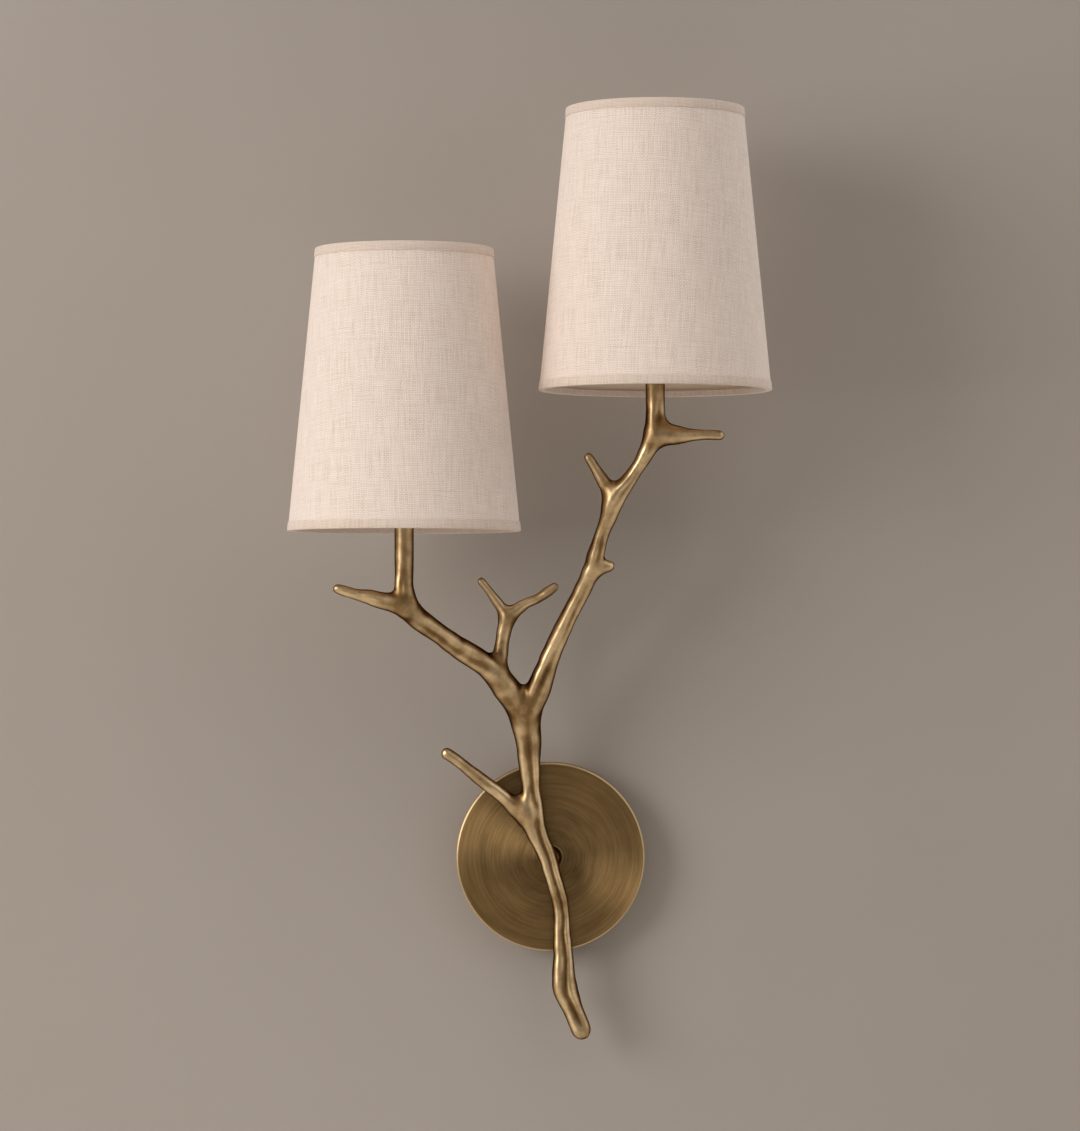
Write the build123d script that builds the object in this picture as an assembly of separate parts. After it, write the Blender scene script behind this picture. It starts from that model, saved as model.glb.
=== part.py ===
from build123d import *
import os
from math import atan2, degrees, radians, sqrt, tan

# Double arm wall sconce: a cast brass branch on a round wall plate, with two linen shades.
# Millimetres. +Z is up and the wall is the plane Y = 0, with the object on its -Y side.
# The origin is the centre of the wall plate on the wall.

# ---- wall plate and what is behind it ----
canopy_d = 127.0            # round wall plate, outside
canopy_depth = 22.0         # from the wall to the plate's front face
canopy_wall = 1.2           # spun brass sheet
canopy_edge_r = 1.6         # rounded front edge
bracket_width = 16.0        # steel crossbar
bracket_t = 2.0
bracket_clearance = 0.8     # between the crossbar's ears and the inside of the plate
bracket_wire_hole_d = 14.0
ear_height = 14.0           # ears stand this far off the wall
slot_spacing = 88.9         # screw spacing of a 3 1/2 inch wall box
slot_width = 5.0
slot_length = 14.0
set_screw_d = 4.0           # grub screws through the plate's side into the ears
set_screw_length = 7.0
set_screw_out = 9.0         # their distance from the wall
set_screw_clearance = 0.2
ground_screw_d = 4.0
ground_head_d = 8.0
ground_head_h = 2.2
ground_screw_x = 24.0
nipple_d = 10.0             # hollow threaded tube
nipple_bore = 7.4
nipple_tail = 8.6           # length inside the plate, behind its front sheet
nipple_clearance = 0.2
strength_washer_d = 38.0
strength_washer_t = 1.5
lock_washer_d = 17.0
lock_washer_t = 1.0
nut_across_flats = 14.0
nut_t = 4.0
bushing_flange_d = 9.6
bushing_flange_t = 1.0
bushing_wall = 0.5
bushing_length = 4.0
collar_d = 17.2             # turned ring between plate and branch
collar_t = 4.0
collar_edge = 0.6
boss_d = 12.7               # round boss on the back of the trunk
boss_thread = 6.0           # length of nipple in the boss

# ---- leads and their channels ----
lead_d = 2.8                # slim twin lead, one to each lampholder
lead_clearance = 1.0        # all round, inside the castings
lead_gap = 0.6              # between the two leads in the trunk
lead_bend_r = 6.0           # tight bend behind the boss
lead_canopy_bend_r = 4.0    # bend inside the wall plate
lead_tail = 17.0            # length up or down inside the wall plate
lead_bend_gap = 0.5         # between the nipple's bushing and the lead's bend
connector_d = 9.0
connector_tip_d = 6.0
connector_length = 17.0
connector_grip = 3.0        # length of lead inside the connector

# ---- branch: where its ends are, sideways, out from the plate's front face, and up ----
left_foot = (-96.0, 90.0, 173.0)    # where the left limb turns up into its stem
right_foot = (68.3, 90.0, 285.0)
left_joint = (-50.0, 48.0, 134.5)   # brazed joints between trunk and limbs
right_joint = (-4.0, 42.0, 125.0)
left_joint_r = 8.1
right_joint_r = 7.5
left_joint_way = (-13.0, 7.5, 9.2)  # the way each limb leaves the trunk
right_joint_way = (4.3, 4.0, 12.2)
spigot_d = 7.4
spigot_length = 12.0
joint_stub = 9.0            # straight lead channel each side of a joint
stem_d = 12.7
stem_bore = 10.0
limb_neck = 18.0            # height of the limb's smooth neck above its foot
neck_plug = 8.0             # plug on the neck, inside the stem tube
neck_bend_r = 8.0           # bend of the lead into the stem
# each lead's way along its limb, as shares of the way from joint to foot
left_wire_shares = [(0.48, 0.38, 0.39), (0.76, 0.69, 0.66)]
right_wire_shares = [
    (0.19, 0.24, 0.205),
    (0.36, 0.45, 0.37),
    (0.485, 0.64, 0.51),
    (0.615, 0.81, 0.69),
    (0.695, 0.87, 0.775),
    (0.815, 0.915, 0.835),
]

# ---- shades ----
shade_bottom_d = 153.0
shade_top_d = 117.0
shade_height = 185.0
cover_t = 0.6               # linen
liner_t = 0.4               # stiff lining that the linen is glued to
tape_t = 0.5                # trim tape
tape_width = 6.0            # outside
hem_width = 4.0             # inside
frame_wire_d = 2.0
wire_play = 0.03            # between a frame wire and the cloth round it
left_shade_lift = 44.6      # from the left foot up to the shade's bottom edge
right_shade_lift = 24.7

# ---- lampholder, candelabra size ----
holder_lift = 38.0          # from the shade's bottom edge up to the stem's top
holder_d = 28.0             # outside of its thread
holder_wall = 1.6
holder_base_h = 12.0
holder_shell_h = 20.0
flange_d = 34.0             # shoulder that the shade's fitter rests on
flange_t = 2.0
flange_lift = 3.0           # from the base's top to the shoulder's underside
thread_rib = 0.3
holder_thread_pitch = 2.0
fitter_clearance = 0.6      # on the diameter, fitter and ring over the thread
fitter_d = 43.0
fitter_t = 1.5
shade_ring_d = 38.0
shade_ring_h = 5.0
shade_ring_lip_h = 1.8
arm_wire_d = 2.5
arm_count = 3
block_h = 8.0               # insulating block that carries the contacts
block_play = 0.2
cap_d = 11.7                # lamp cap, outside of its thread
cap_pitch = 2.54
cap_h = 14.0
cap_clearance = 0.6         # on the diameter, cap in screw shell
screw_shell_wall = 0.4
screw_shell_h = 13.0
contact_t = 0.4
contact_width = 4.0
contact_rise = 2.0
terminal_screw_d = 3.0
terminal_head_d = 5.0
terminal_head_h = 1.6
terminal_play = 0.3         # between a screw's head and the block's foot
block_foot_wall = 1.5       # the block stands on a ring of this wall
block_air = 1.0             # between the screws' heads and the holder's floor

# ---- lamp ----
bulb_d = 35.0
bulb_length = 84.0          # glass above the cap
bulb_neck_d = 11.0
bulb_widest = 34.0          # from the cap up to the widest place
bulb_glass_t = 0.8
filament_wire_d = 0.8
stem_tip_r = 1.2            # tip of the glass stem inside the lamp
stem_grip = 2.0             # the supports' length inside the glass stem
filament_h = 40.0
filament_span = 8.0

# ---- worked out from the above ----
canopy_r = canopy_d / 2
canopy_inner_r = canopy_r - canopy_wall
sheet_back = canopy_depth - canopy_wall
collar_front = canopy_depth + collar_t
lead_r = lead_d / 2
channel_r = lead_r + lead_clearance
lead_side = lead_r + lead_gap / 2
lead_inner_out = sheet_back - nipple_tail - bushing_flange_t - lead_bend_gap - lead_canopy_bend_r
bracket_half = sqrt(canopy_inner_r**2 - (bracket_width / 2) ** 2) - bracket_clearance
holder_inner_r = holder_d / 2 - holder_wall
block_low = holder_wall + terminal_head_h + block_air
block_top = block_low + block_h
block_foot_r = holder_inner_r - block_play - block_foot_wall
terminal_offset = block_foot_r - terminal_play - terminal_head_d / 2


STANDING = (Align.CENTER, Align.CENTER, Align.MIN)


def at(x, out, z):
    """A point from its sideways place, its distance out from the wall, and its height."""
    return Vector(x, -out, z)


def off_plate(place):
    """A point given sideways, out from the plate's front face, and up."""
    return at(place[0], canopy_depth + place[1], place[2])


def between(start, end, shares):
    """A point part of the way from start to end, with its own share of the way on each axis."""
    way = end - start
    return Vector(
        start.X + way.X * shares[0],
        start.Y + way.Y * shares[1],
        start.Z + way.Z * shares[2],
    )


def near(place, dx, out, dz):
    """A point beside a place, moved sideways, out from the wall, and up."""
    return place + Vector(dx, -out, dz)


def tube(outer_r, inner_r, height):
    """An upright tube standing on the origin."""
    return rod(outer_r, height) - rod(inner_r, height)


def rod(radius, height):
    """An upright rod standing on the origin."""
    return Cylinder(radius, height, align=STANDING)


def from_wall(shape, out, x=0.0, z=0.0):
    """Turns an upright shape so that its +Z points out of the wall, standing at a distance out."""
    return Pos(x, -out, z) * Rot(X=90) * shape


def turned(points):
    """A solid of revolution about Z, from its outline as (radius, height) points."""
    outline = Polyline(*[(r, z) for r, z in points], close=True)
    return revolve(Plane.XZ * make_face(outline), Axis.Z)


def ribbed(radius, rib, pitch, height):
    """Outline of a thread's outside, as rings of the thread's pitch."""
    points = []
    turns = int(height / pitch)
    margin = (height - turns * pitch) / 2
    for turn in range(turns):
        low = margin + turn * pitch
        points += [(radius - rib, low), (radius, low + pitch / 3), (radius, low + pitch * 2 / 3)]
    points.append((radius - rib, margin + turns * pitch))
    return points


def channel(points, bends, radius):
    """A round bar along straight runs joined by tangent arcs."""
    path = FilletPolyline(*points, radius=bends)
    start = Plane(origin=path @ 0, z_dir=path % 0)
    return sweep(start * Circle(radius), path=path)


# ---- branch ----
def way_plane(point, way):
    """A plane square to a limb, turned alike all along it."""
    normal = way.normalized()
    side = Vector(0, 1, 0) - normal * Vector(0, 1, 0).dot(normal)
    return Plane(origin=point, x_dir=side, z_dir=normal)


def limb(stations, first_way=None, last_way=None, round_tip=True):
    """A smooth tapering limb through (point, radius) stations, with a round tip."""
    points = [station[0] for station in stations]
    last = len(stations) - 1
    rings = []
    for i, (point, radius) in enumerate(stations):
        way = points[min(i + 1, last)] - points[max(i - 1, 0)]
        if i == 0 and first_way is not None:
            way = first_way
        if i == last and last_way is not None:
            way = last_way
        plane = way_plane(point, way)
        rings.append(plane * Circle(radius))
    body = loft(rings)
    if round_tip:
        body += plane * Sphere(stations[last][1], arc_size1=0, arc_size2=90)
    return body


def direction(way):
    return Vector(way[0], -way[1], way[2]).normalized()


def trunk_stations():
    """Tail, waist and fork of the trunk, from the fork down to the tail's tip."""
    rows = [
        (-18.0, 33.0, 105.0, 10.6),
        (-16.6, 28.5, 92.0, 10.6),
        (-15.0, 25.0, 80.0, 9.0),
        (-14.3, 22.5, 67.0, 8.2),
        (-13.4, 20.5, 51.0, 6.9),
        (-12.6, 19.0, 40.0, 7.3),
        (-12.8, 17.8, 29.0, 8.6),
        (-10.0, 16.5, 18.5, 7.4),
        (-5.0, 14.8, 7.0, 6.6),
        (-0.5, 13.7, -6.0, 6.2),
        (4.5, 12.0, -22.0, 5.9),
        (7.2, 11.0, -37.0, 5.8),
        (8.2, 9.7, -53.0, 6.4),
        (8.4, 9.0, -67.0, 7.2),
        (8.9, 8.5, -79.0, 8.4),
        (9.8, 8.2, -87.0, 9.0),
        (12.6, 8.0, -96.0, 8.0),
        (16.8, 8.0, -106.0, 7.3),
        (20.3, 8.0, -115.0, 7.3),
    ]
    return [(off_plate(row[:3]), row[3]) for row in rows]


def twig(root, rows):
    """Stations of a twig, as places beside its root with a radius each."""
    return [(near(root, *row[:3]), row[3]) for row in rows]


def left_wire_points():
    """Route of the left lead and its channel, from the wall plate to the lampholder."""
    return wire_points(-1, left_joint, left_joint_way, left_foot, left_wire_shares)


def right_wire_points():
    return wire_points(1, right_joint, right_joint_way, right_foot, right_wire_shares)


def wire_points(side, joint, joint_way, foot, shares):
    """Points of one lead's route: up the trunk, through the joint, along the limb, up the stem."""
    aside = side * lead_side
    meet = off_plate(joint)
    way = direction(joint_way)
    end = off_plate(foot)
    points = [
        at(aside, lead_inner_out, -side * lead_tail),
        at(aside, lead_inner_out, 0.0),
        at(aside, canopy_depth + 14.0, 0.0),
        off_plate((aside - 10.0, 16.5, 19.0)),
        off_plate((aside - 12.9, 18.5, 34.0)),
        off_plate((aside - 13.8, 21.5, 59.0)),
        off_plate((aside - 15.5, 26.0, 83.0)),
        off_plate((aside * 2 - 17.0, 31.5, 99.0)),
        meet - way * joint_stub,
        meet + way * joint_stub,
    ]
    points += [between(meet, end, share) for share in shares]
    points += [end, Vector(end.X, end.Y, holder_floor(foot))]
    return points


def wire_bends(points):
    """Bend radii: tight where the lead turns square, and wide along the limbs."""
    radii = []
    for i in range(1, len(points) - 1):
        into = points[i] - points[i - 1]
        away = points[i + 1] - points[i]
        half = radians(into.get_angle(away)) / 2
        radii.append(0.45 * min(into.length, away.length) / tan(half))
    radii[0] = lead_canopy_bend_r
    radii[1] = lead_bend_r
    radii[-1] = neck_bend_r
    return radii


def shade_bottom(foot):
    return foot[2] + (left_shade_lift if foot is left_foot else right_shade_lift)


def stem_top(foot):
    return shade_bottom(foot) + holder_lift


def holder_floor(foot):
    """Underside of the insulating block, where the lead ends."""
    return stem_top(foot) + block_low


def make_trunk(channels):
    body = limb(trunk_stations())
    fork = off_plate((-17.0, 31.5, 100.0))
    top, top_r = trunk_stations()[0]
    body += Pos(*top) * Sphere(top_r)
    left_meet = off_plate(left_joint)
    left_way = direction(left_joint_way)
    left_stub = [
        (fork, 9.0),
        (off_plate((-24.5, 36.5, 112.0)), 9.8),
        (off_plate((-36.0, 42.2, 124.0)), 8.8),
        (left_meet, left_joint_r),
    ]
    body += limb(left_stub, last_way=left_way, round_tip=False)
    right_way = direction(right_joint_way)
    right_stub = [
        (fork, 9.0),
        (off_plate((-9.8, 37.3, 111.5)), 8.9),
        (off_plate(right_joint), right_joint_r),
    ]
    body += limb(right_stub, last_way=right_way, round_tip=False)
    body += limb(twig(off_plate((-14.0, 18.0, 31.0)), [
        (0.0, 0.0, 0.0, 7.2),
        (-6.0, 0.5, 3.2, 6.6),
        (-13.5, 1.5, 7.5, 5.4),
        (-24.0, 3.0, 15.5, 5.0),
        (-34.5, 4.8, 23.4, 4.7),
        (-44.0, 7.0, 31.2, 4.2),
        (-55.3, 9.0, 39.3, 4.0),
    ]))
    body += limb(twig(off_plate((-35.0, 42.0, 122.0)), [
        (0.0, 0.0, 0.0, 7.6),
        (1.2, 0.0, 9.0, 6.4),
        (2.0, 0.0, 17.5, 5.2),
        (3.2, 0.5, 26.0, 4.8),
        (5.0, 1.0, 34.0, 5.2),
        (7.0, 1.5, 41.0, 5.2),
    ]))
    split = off_plate((-28.0, 43.5, 163.0))
    body += limb(twig(split, [
        (1.0, 0.0, -2.0, 4.6),
        (-7.4, 0.5, 8.3, 3.8),
        (-11.9, 1.0, 14.4, 3.1),
        (-18.0, 1.5, 22.4, 3.1),
    ]))
    body += limb(twig(split, [
        (-1.5, 0.0, -0.5, 4.8),
        (5.4, 0.5, 3.6, 4.6),
        (11.6, 1.0, 7.4, 3.7),
        (19.4, 1.8, 11.2, 3.2),
        (30.2, 3.0, 18.4, 3.2),
    ]))
    body += from_wall(rod(boss_d / 2, 10.0), collar_front)
    body -= from_wall(rod(nipple_d / 2, boss_thread), collar_front)
    body -= channels[0]
    body -= channels[1]
    body -= spigot_seat(left_joint, left_joint_way)
    body -= spigot_seat(right_joint, right_joint_way)
    return body


def spigot_seat(joint, joint_way):
    plane = way_plane(off_plate(joint), direction(joint_way))
    return plane * Cylinder(spigot_d / 2, spigot_length)


def make_spigot(joint, joint_way):
    plane = way_plane(off_plate(joint), direction(joint_way))
    return plane * (Cylinder(spigot_d / 2, spigot_length) - Cylinder(channel_r, spigot_length))


def limb_stations(joint, joint_r, foot, rows):
    meet = off_plate(joint)
    end = off_plate(foot)
    stations = [(meet, joint_r)]
    stations += [(between(meet, end, row[:3]), row[3]) for row in rows]
    stations.append((near(end, 0, 0, limb_neck / 2), stem_d / 2 + 0.7))
    stations.append((near(end, 0, 0, limb_neck), stem_d / 2))
    return stations


def neck(foot):
    """The plug that the stem tube slips over."""
    end = off_plate(foot)
    return Pos(end.X, end.Y, end.Z + limb_neck) * rod(stem_bore / 2, neck_plug)


def make_left_limb(lead_channel):
    rows = [
        (0.26, 0.19, 0.19, 7.4),
        (0.48, 0.38, 0.39, 7.0),
        (0.685, 0.595, 0.585, 7.1),
        (0.88, 0.83, 0.80, 8.0),
        (0.99, 0.98, 1.0, 8.4),
    ]
    stations = limb_stations(left_joint, left_joint_r, left_foot, rows)
    body = limb(stations, direction(left_joint_way), Vector(0, 0, 1), round_tip=False)
    body += limb(twig(off_plate(left_foot), [
        (3.0, -1.0, -2.0, 7.2),
        (-6.0, 0.0, -1.4, 6.6),
        (-14.5, 0.5, -0.6, 5.7),
        (-23.5, 1.0, 1.8, 4.9),
        (-32.5, 1.5, 3.6, 3.9),
        (-43.4, 2.0, 6.8, 3.3),
    ]))
    body += neck(left_foot)
    body -= lead_channel
    body -= spigot_seat(left_joint, left_joint_way)
    return body


def make_right_limb(lead_channel):
    rows = [
        (0.055, 0.08, 0.075, 6.6),
        (0.14, 0.19, 0.16, 6.0),
        (0.235, 0.30, 0.25, 5.6),
        (0.33, 0.415, 0.34, 5.7),
        (0.415, 0.52, 0.41, 6.0),
        (0.47, 0.615, 0.495, 5.8),
        (0.52, 0.70, 0.57, 5.2),
        (0.58, 0.77, 0.645, 5.8),
        (0.635, 0.83, 0.72, 7.3),
        (0.735, 0.88, 0.785, 5.3),
        (0.815, 0.915, 0.835, 4.5),
        (0.885, 0.96, 0.88, 4.9),
        (0.955, 0.99, 0.94, 6.6),
        (1.0, 1.0, 0.99, 7.6),
    ]
    stations = limb_stations(right_joint, right_joint_r, right_foot, rows)
    body = limb(stations, direction(right_joint_way), Vector(0, 0, 1), round_tip=False)
    meet = off_plate(right_joint)
    end = off_plate(right_foot)
    body += limb(twig(end, [
        (-3.0, -0.5, -3.0, 7.0),
        (6.0, 0.0, -3.6, 7.2),
        (13.5, 0.5, -4.0, 5.8),
        (23.0, 1.0, -4.4, 3.9),
        (33.0, 1.0, -4.5, 3.2),
        (42.0, 1.5, -4.6, 3.2),
    ]))
    body += limb(twig(between(meet, end, (0.635, 0.83, 0.72)), [
        (1.5, 0.0, -1.0, 6.0),
        (-5.0, 0.0, 6.0, 5.0),
        (-9.5, 0.5, 14.0, 4.0),
        (-17.0, 1.5, 25.6, 3.3),
    ]))
    body += limb(twig(between(meet, end, (0.415, 0.52, 0.41)), [
        (-0.5, 0.0, -1.0, 4.8),
        (5.0, 0.5, 1.6, 4.6),
        (12.3, 1.0, 3.6, 3.7),
    ]))
    body += neck(right_foot)
    body -= lead_channel
    body -= spigot_seat(right_joint, right_joint_way)
    return body


def make_stem(foot):
    end = off_plate(foot)
    low = end.Z + limb_neck
    return Pos(end.X, end.Y, low) * tube(stem_d / 2, stem_bore / 2, stem_top(foot) - low)


# ---- wall side ----
def make_wall_bracket():
    """Crossbar flat on the wall, with an ear bent out at each end."""
    bar = Pos(0, -bracket_t / 2, 0) * Box(bracket_half * 2, bracket_t, bracket_width)
    ear = Box(bracket_t, ear_height, bracket_width)
    for side in (-1, 1):
        bar += Pos(side * (bracket_half - bracket_t / 2), -ear_height / 2, 0) * ear
        slot = extrude(SlotOverall(slot_length, slot_width), amount=bracket_t)
        bar -= from_wall(slot, 0.0, side * slot_spacing / 2)
        bar -= Pos(side * bracket_half, -set_screw_out, 0) * Rot(Y=90) * Cylinder(
            set_screw_d / 2, bracket_t * 4
        )
    bar -= from_wall(rod(bracket_wire_hole_d / 2, bracket_t), 0.0)
    bar -= from_wall(rod(ground_screw_d / 2, bracket_t), 0.0, ground_screw_x)
    return bar


def make_ground_screw():
    shank = rod(ground_screw_d / 2, bracket_t)
    head = Pos(0, 0, bracket_t) * rod(ground_head_d / 2, ground_head_h)
    head -= Pos(0, 0, bracket_t + ground_head_h) * Box(ground_head_d, 1.0, 1.6)
    return from_wall(shank + head, 0.0, ground_screw_x)


def make_canopy():
    """Spun cup with its open side on the wall."""
    edge = canopy_edge_r
    cup = rod(canopy_r, canopy_depth)
    cup = fillet(cup.edges().sort_by(Axis.Z)[-1], edge)
    hollow = rod(canopy_inner_r, canopy_depth - canopy_wall)
    hollow = fillet(hollow.edges().sort_by(Axis.Z)[-1], max(edge - canopy_wall, edge / 4))
    cup -= hollow
    cup -= rod((nipple_d + nipple_clearance) / 2, canopy_depth)
    cup = from_wall(cup, 0.0)
    screw_hole = Rot(Y=90) * Cylinder((set_screw_d + set_screw_clearance) / 2, canopy_d * 1.2)
    return cup - Pos(0, -set_screw_out, 0) * screw_hole


def make_canopy_set_screws():
    screws = []
    socket = extrude(RegularPolygon(set_screw_d / 4, 6), amount=set_screw_length / 3)
    for side in (-1, 1):
        screw = Pos(0, 0, -set_screw_length) * rod(set_screw_d / 2, set_screw_length)
        screw -= Pos(0, 0, -set_screw_length / 3) * socket
        flush = canopy_r - canopy_wall / 4
        screws.append(Pos(side * flush, -set_screw_out, 0) * Rot(Y=90 * side) * screw)
    return Compound(children=screws)


def make_nipple():
    length = nipple_tail + canopy_wall + collar_t + boss_thread
    return from_wall(tube(nipple_d / 2, nipple_bore / 2, length), sheet_back - nipple_tail)


def make_strength_washer():
    ring = tube(strength_washer_d / 2, (nipple_d + nipple_clearance) / 2, strength_washer_t)
    return from_wall(ring, sheet_back - strength_washer_t)


def make_lock_washer():
    """Split ring, cut through on one side."""
    ring = tube(lock_washer_d / 2, (nipple_d + nipple_clearance) / 2, lock_washer_t)
    split = Box(lock_washer_d, lock_washer_t, lock_washer_t * 2)
    ring -= Pos(lock_washer_d / 2, 0, lock_washer_t / 2) * split
    return from_wall(ring, sheet_back - strength_washer_t - lock_washer_t)


def make_nipple_nut():
    nut = extrude(RegularPolygon(nut_across_flats / 2, 6, major_radius=False), amount=nut_t)
    nut -= rod(nipple_d / 2, nut_t)
    return from_wall(nut, sheet_back - strength_washer_t - lock_washer_t - nut_t)


def make_nipple_bushing():
    end = sheet_back - nipple_tail
    bore = nipple_bore / 2 - bushing_wall
    sleeve = tube(nipple_bore / 2, bore, bushing_length)
    flange = Pos(0, 0, -bushing_flange_t) * tube(bushing_flange_d / 2, bore, bushing_flange_t)
    return from_wall(sleeve + flange, end)


def make_collar():
    ring = tube(collar_d / 2, nipple_d / 2, collar_t)
    ring = chamfer(ring.edges().group_by(Axis.Z)[-1].sort_by(SortBy.RADIUS)[-1], collar_edge)
    return from_wall(ring, canopy_depth)


def make_wire_connectors():
    """Closed-end connectors on the leads' ends, one above and one below the nipple."""
    caps = []
    for side in (-1, 1):
        cap = Cone(connector_d / 2, connector_tip_d / 2, connector_length, align=STANDING)
        cap -= rod(lead_r, connector_grip)
        mouth = lead_tail - connector_grip
        place = Pos(side * lead_side, -lead_inner_out, -side * mouth)
        caps.append(place * Rot(X=90 + 90 * side) * cap)
    return Compound(children=caps)


# ---- lampholder, standing on the stem's top at the origin ----
def make_holder_nipple():
    length = neck_plug + holder_wall
    return Pos(0, 0, -neck_plug) * tube(stem_bore / 2, nipple_bore / 2, length)


def make_holder_base():
    """Lower cup, screwed on the nipple."""
    cup = rod(holder_d / 2, holder_base_h)
    cup -= Pos(0, 0, holder_wall) * rod(holder_inner_r, holder_base_h)
    cup -= rod(stem_bore / 2, holder_wall)
    return chamfer(cup.edges().group_by(Axis.Z)[0].sort_by(SortBy.RADIUS)[-1], holder_wall / 2)


def make_contact_block():
    """Insulating block, with a shoulder that stands on the cup's floor and screw holes."""
    block = Pos(0, 0, block_low) * rod(holder_inner_r - block_play, block_h)
    foot = tube(holder_inner_r - block_play, block_foot_r, block_low - holder_wall)
    block += Pos(0, 0, holder_wall) * foot
    for side in (-1, 1):
        block -= Pos(side * terminal_offset, 0, block_low) * rod(terminal_screw_d / 2, block_h / 2)
    return block


def make_terminal_screws():
    screws = []
    for side in (-1, 1):
        screw = rod(terminal_screw_d / 2, block_h / 2)
        head = Pos(0, 0, -terminal_head_h) * rod(terminal_head_d / 2, terminal_head_h)
        head -= Pos(0, 0, -terminal_head_h) * Box(terminal_head_d, 0.8, 1.0)
        screws.append(Pos(side * terminal_offset, 0, block_low) * (screw + head))
    return Compound(children=screws)


def make_centre_contact():
    """Springy strip that rises to the lamp's tip."""
    rise = contact_rise
    outline = Polyline(
        (-contact_width, 0), (contact_width / 2, 0), (contact_width / 2, contact_t),
        (0, contact_t), (-contact_width, rise), (-contact_width, rise - contact_t),
        (-contact_width / 4, contact_t), (-contact_width, contact_t), close=True,
    )
    strip = extrude(Plane.XZ * make_face(outline), amount=contact_width / 2, both=True)
    return Pos(contact_width / 2, 0, block_top) * strip


def make_screw_shell():
    """Threaded brass shell that the lamp screws into, standing on the block."""
    bore = (cap_d + cap_clearance) / 2
    outer = bore + screw_shell_wall
    inside = ribbed(bore + screw_shell_wall / 2, screw_shell_wall / 2, cap_pitch, screw_shell_h)
    outline = [(outer + screw_shell_wall, 0), (outer + screw_shell_wall, screw_shell_h)]
    outline += [(inside[-1][0], screw_shell_h)] + inside[::-1] + [(inside[0][0], 0)]
    return Pos(0, 0, block_top) * turned(outline)


def make_holder_shell():
    """Outer skirt with a thread for the shade ring and a shoulder for the fitter."""
    thread_low = flange_lift + flange_t
    outline = [(holder_inner_r, 0), (holder_d / 2 - thread_rib, 0)]
    outline += [(holder_d / 2 - thread_rib, flange_lift), (flange_d / 2, flange_lift)]
    outline += [(flange_d / 2, thread_low)]
    thread = ribbed(holder_d / 2, thread_rib, holder_thread_pitch, holder_shell_h - thread_low)
    outline += [(holder_d / 2 - thread_rib, thread_low)]
    outline += [(r, z + thread_low) for r, z in thread[1:]]
    outline += [(holder_d / 2 - thread_rib, holder_shell_h), (holder_inner_r, holder_shell_h)]
    return Pos(0, 0, holder_base_h) * turned(outline)


fitter_low = holder_base_h + flange_lift + flange_t
fitter_hole_r = (holder_d + fitter_clearance) / 2


def make_shade_ring():
    """Ring that screws down on the fitter, with a grip of small flutes."""
    wide = shade_ring_d / 2
    slim = (wide + fitter_hole_r) / 2
    ring = tube(wide, fitter_hole_r, shade_ring_lip_h)
    ring += Pos(0, 0, shade_ring_lip_h) * tube(slim, fitter_hole_r, shade_ring_h - shade_ring_lip_h)
    flute = rod(0.8, shade_ring_lip_h)
    for place in PolarLocations(wide, 24):
        ring -= place * flute
    return Pos(0, 0, fitter_low + fitter_t) * ring


# ---- lamp, standing on the block's contact ----
cap_low = block_top + contact_rise + 0.2


def make_bulb_cap():
    outline = [(0, 0), (1.8, 0), (1.8, 0.6), (cap_d / 2 - 2.0, 1.8)]
    thread = ribbed(cap_d / 2, 0.5, cap_pitch, cap_h - 1.8)
    outline += [(r, z + 1.8) for r, z in thread]
    outline += [(cap_d / 2 - 0.5, cap_h), (0, cap_h)]
    return Pos(0, 0, cap_low) * turned(outline)


glass_low = cap_low + cap_h


def bulb_outline(inset):
    """Candle shape: neck, widest place and rounded point, drawn as one smooth line."""
    wide = bulb_d / 2 - inset
    neck_r = bulb_neck_d / 2 - inset
    top = bulb_length - inset
    return Spline(
        (neck_r, inset),
        (neck_r + (wide - neck_r) * 0.45, bulb_widest * 0.42),
        (wide, bulb_widest),
        (wide * 0.62, bulb_widest + (top - bulb_widest) * 0.62),
        (0.0, top),
        tangents=[(0.25, 1.0), (-1.0, 0.0)],
    )


def bulb_form(inset):
    side = bulb_outline(inset)
    base = Polyline((0.0, bulb_length - inset), (0.0, inset), (bulb_neck_d / 2 - inset, inset))
    return revolve(Plane.XZ * make_face(side + base), Axis.Z)


def make_bulb_glass():
    return Pos(0, 0, glass_low) * (bulb_form(0.0) - bulb_form(bulb_glass_t))


def make_bulb_filament():
    """Glass stem with two supports and the coil between them."""
    stem_height = filament_h * 0.55
    foot = Cone(bulb_neck_d / 2 - bulb_glass_t * 2, stem_tip_r, stem_height, align=STANDING)
    wire_r = filament_wire_d / 2
    half = filament_span / 2
    body = foot
    for side in (-1, 1):
        rise = filament_h - stem_height + stem_grip
        support = Rot(Y=side * degrees(atan2(half, rise))) * rod(wire_r, sqrt(half**2 + rise**2))
        body += Pos(0, 0, stem_height - stem_grip) * support
    coil = Cylinder(wire_r * 1.6, filament_span + filament_wire_d)
    body += Pos(0, 0, filament_h) * Rot(Y=90) * coil
    return Pos(0, 0, glass_low + bulb_glass_t) * body


# ---- shade, standing on its bottom edge at the origin ----
def shade_r(z, depth=0.0):
    """Radius of the linen's outside at a height, less a depth into the shade's wall."""
    share = z / shade_height
    return shade_bottom_d / 2 + (shade_top_d - shade_bottom_d) / 2 * share - depth


def cone_wall(low, high, outer, inner):
    """Part of the shade's wall between two heights and two depths."""
    return turned([
        (shade_r(low, outer), low), (shade_r(high, outer), high),
        (shade_r(high, inner), high), (shade_r(low, inner), low),
    ])


wall_t = cover_t + liner_t
hem_depth = wall_t + frame_wire_d + wire_play * 2
edge_low = tape_t
edge_high = shade_height - tape_t


def make_shade_cover():
    return cone_wall(edge_low, edge_high, tape_t, tape_t + cover_t)


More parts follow.
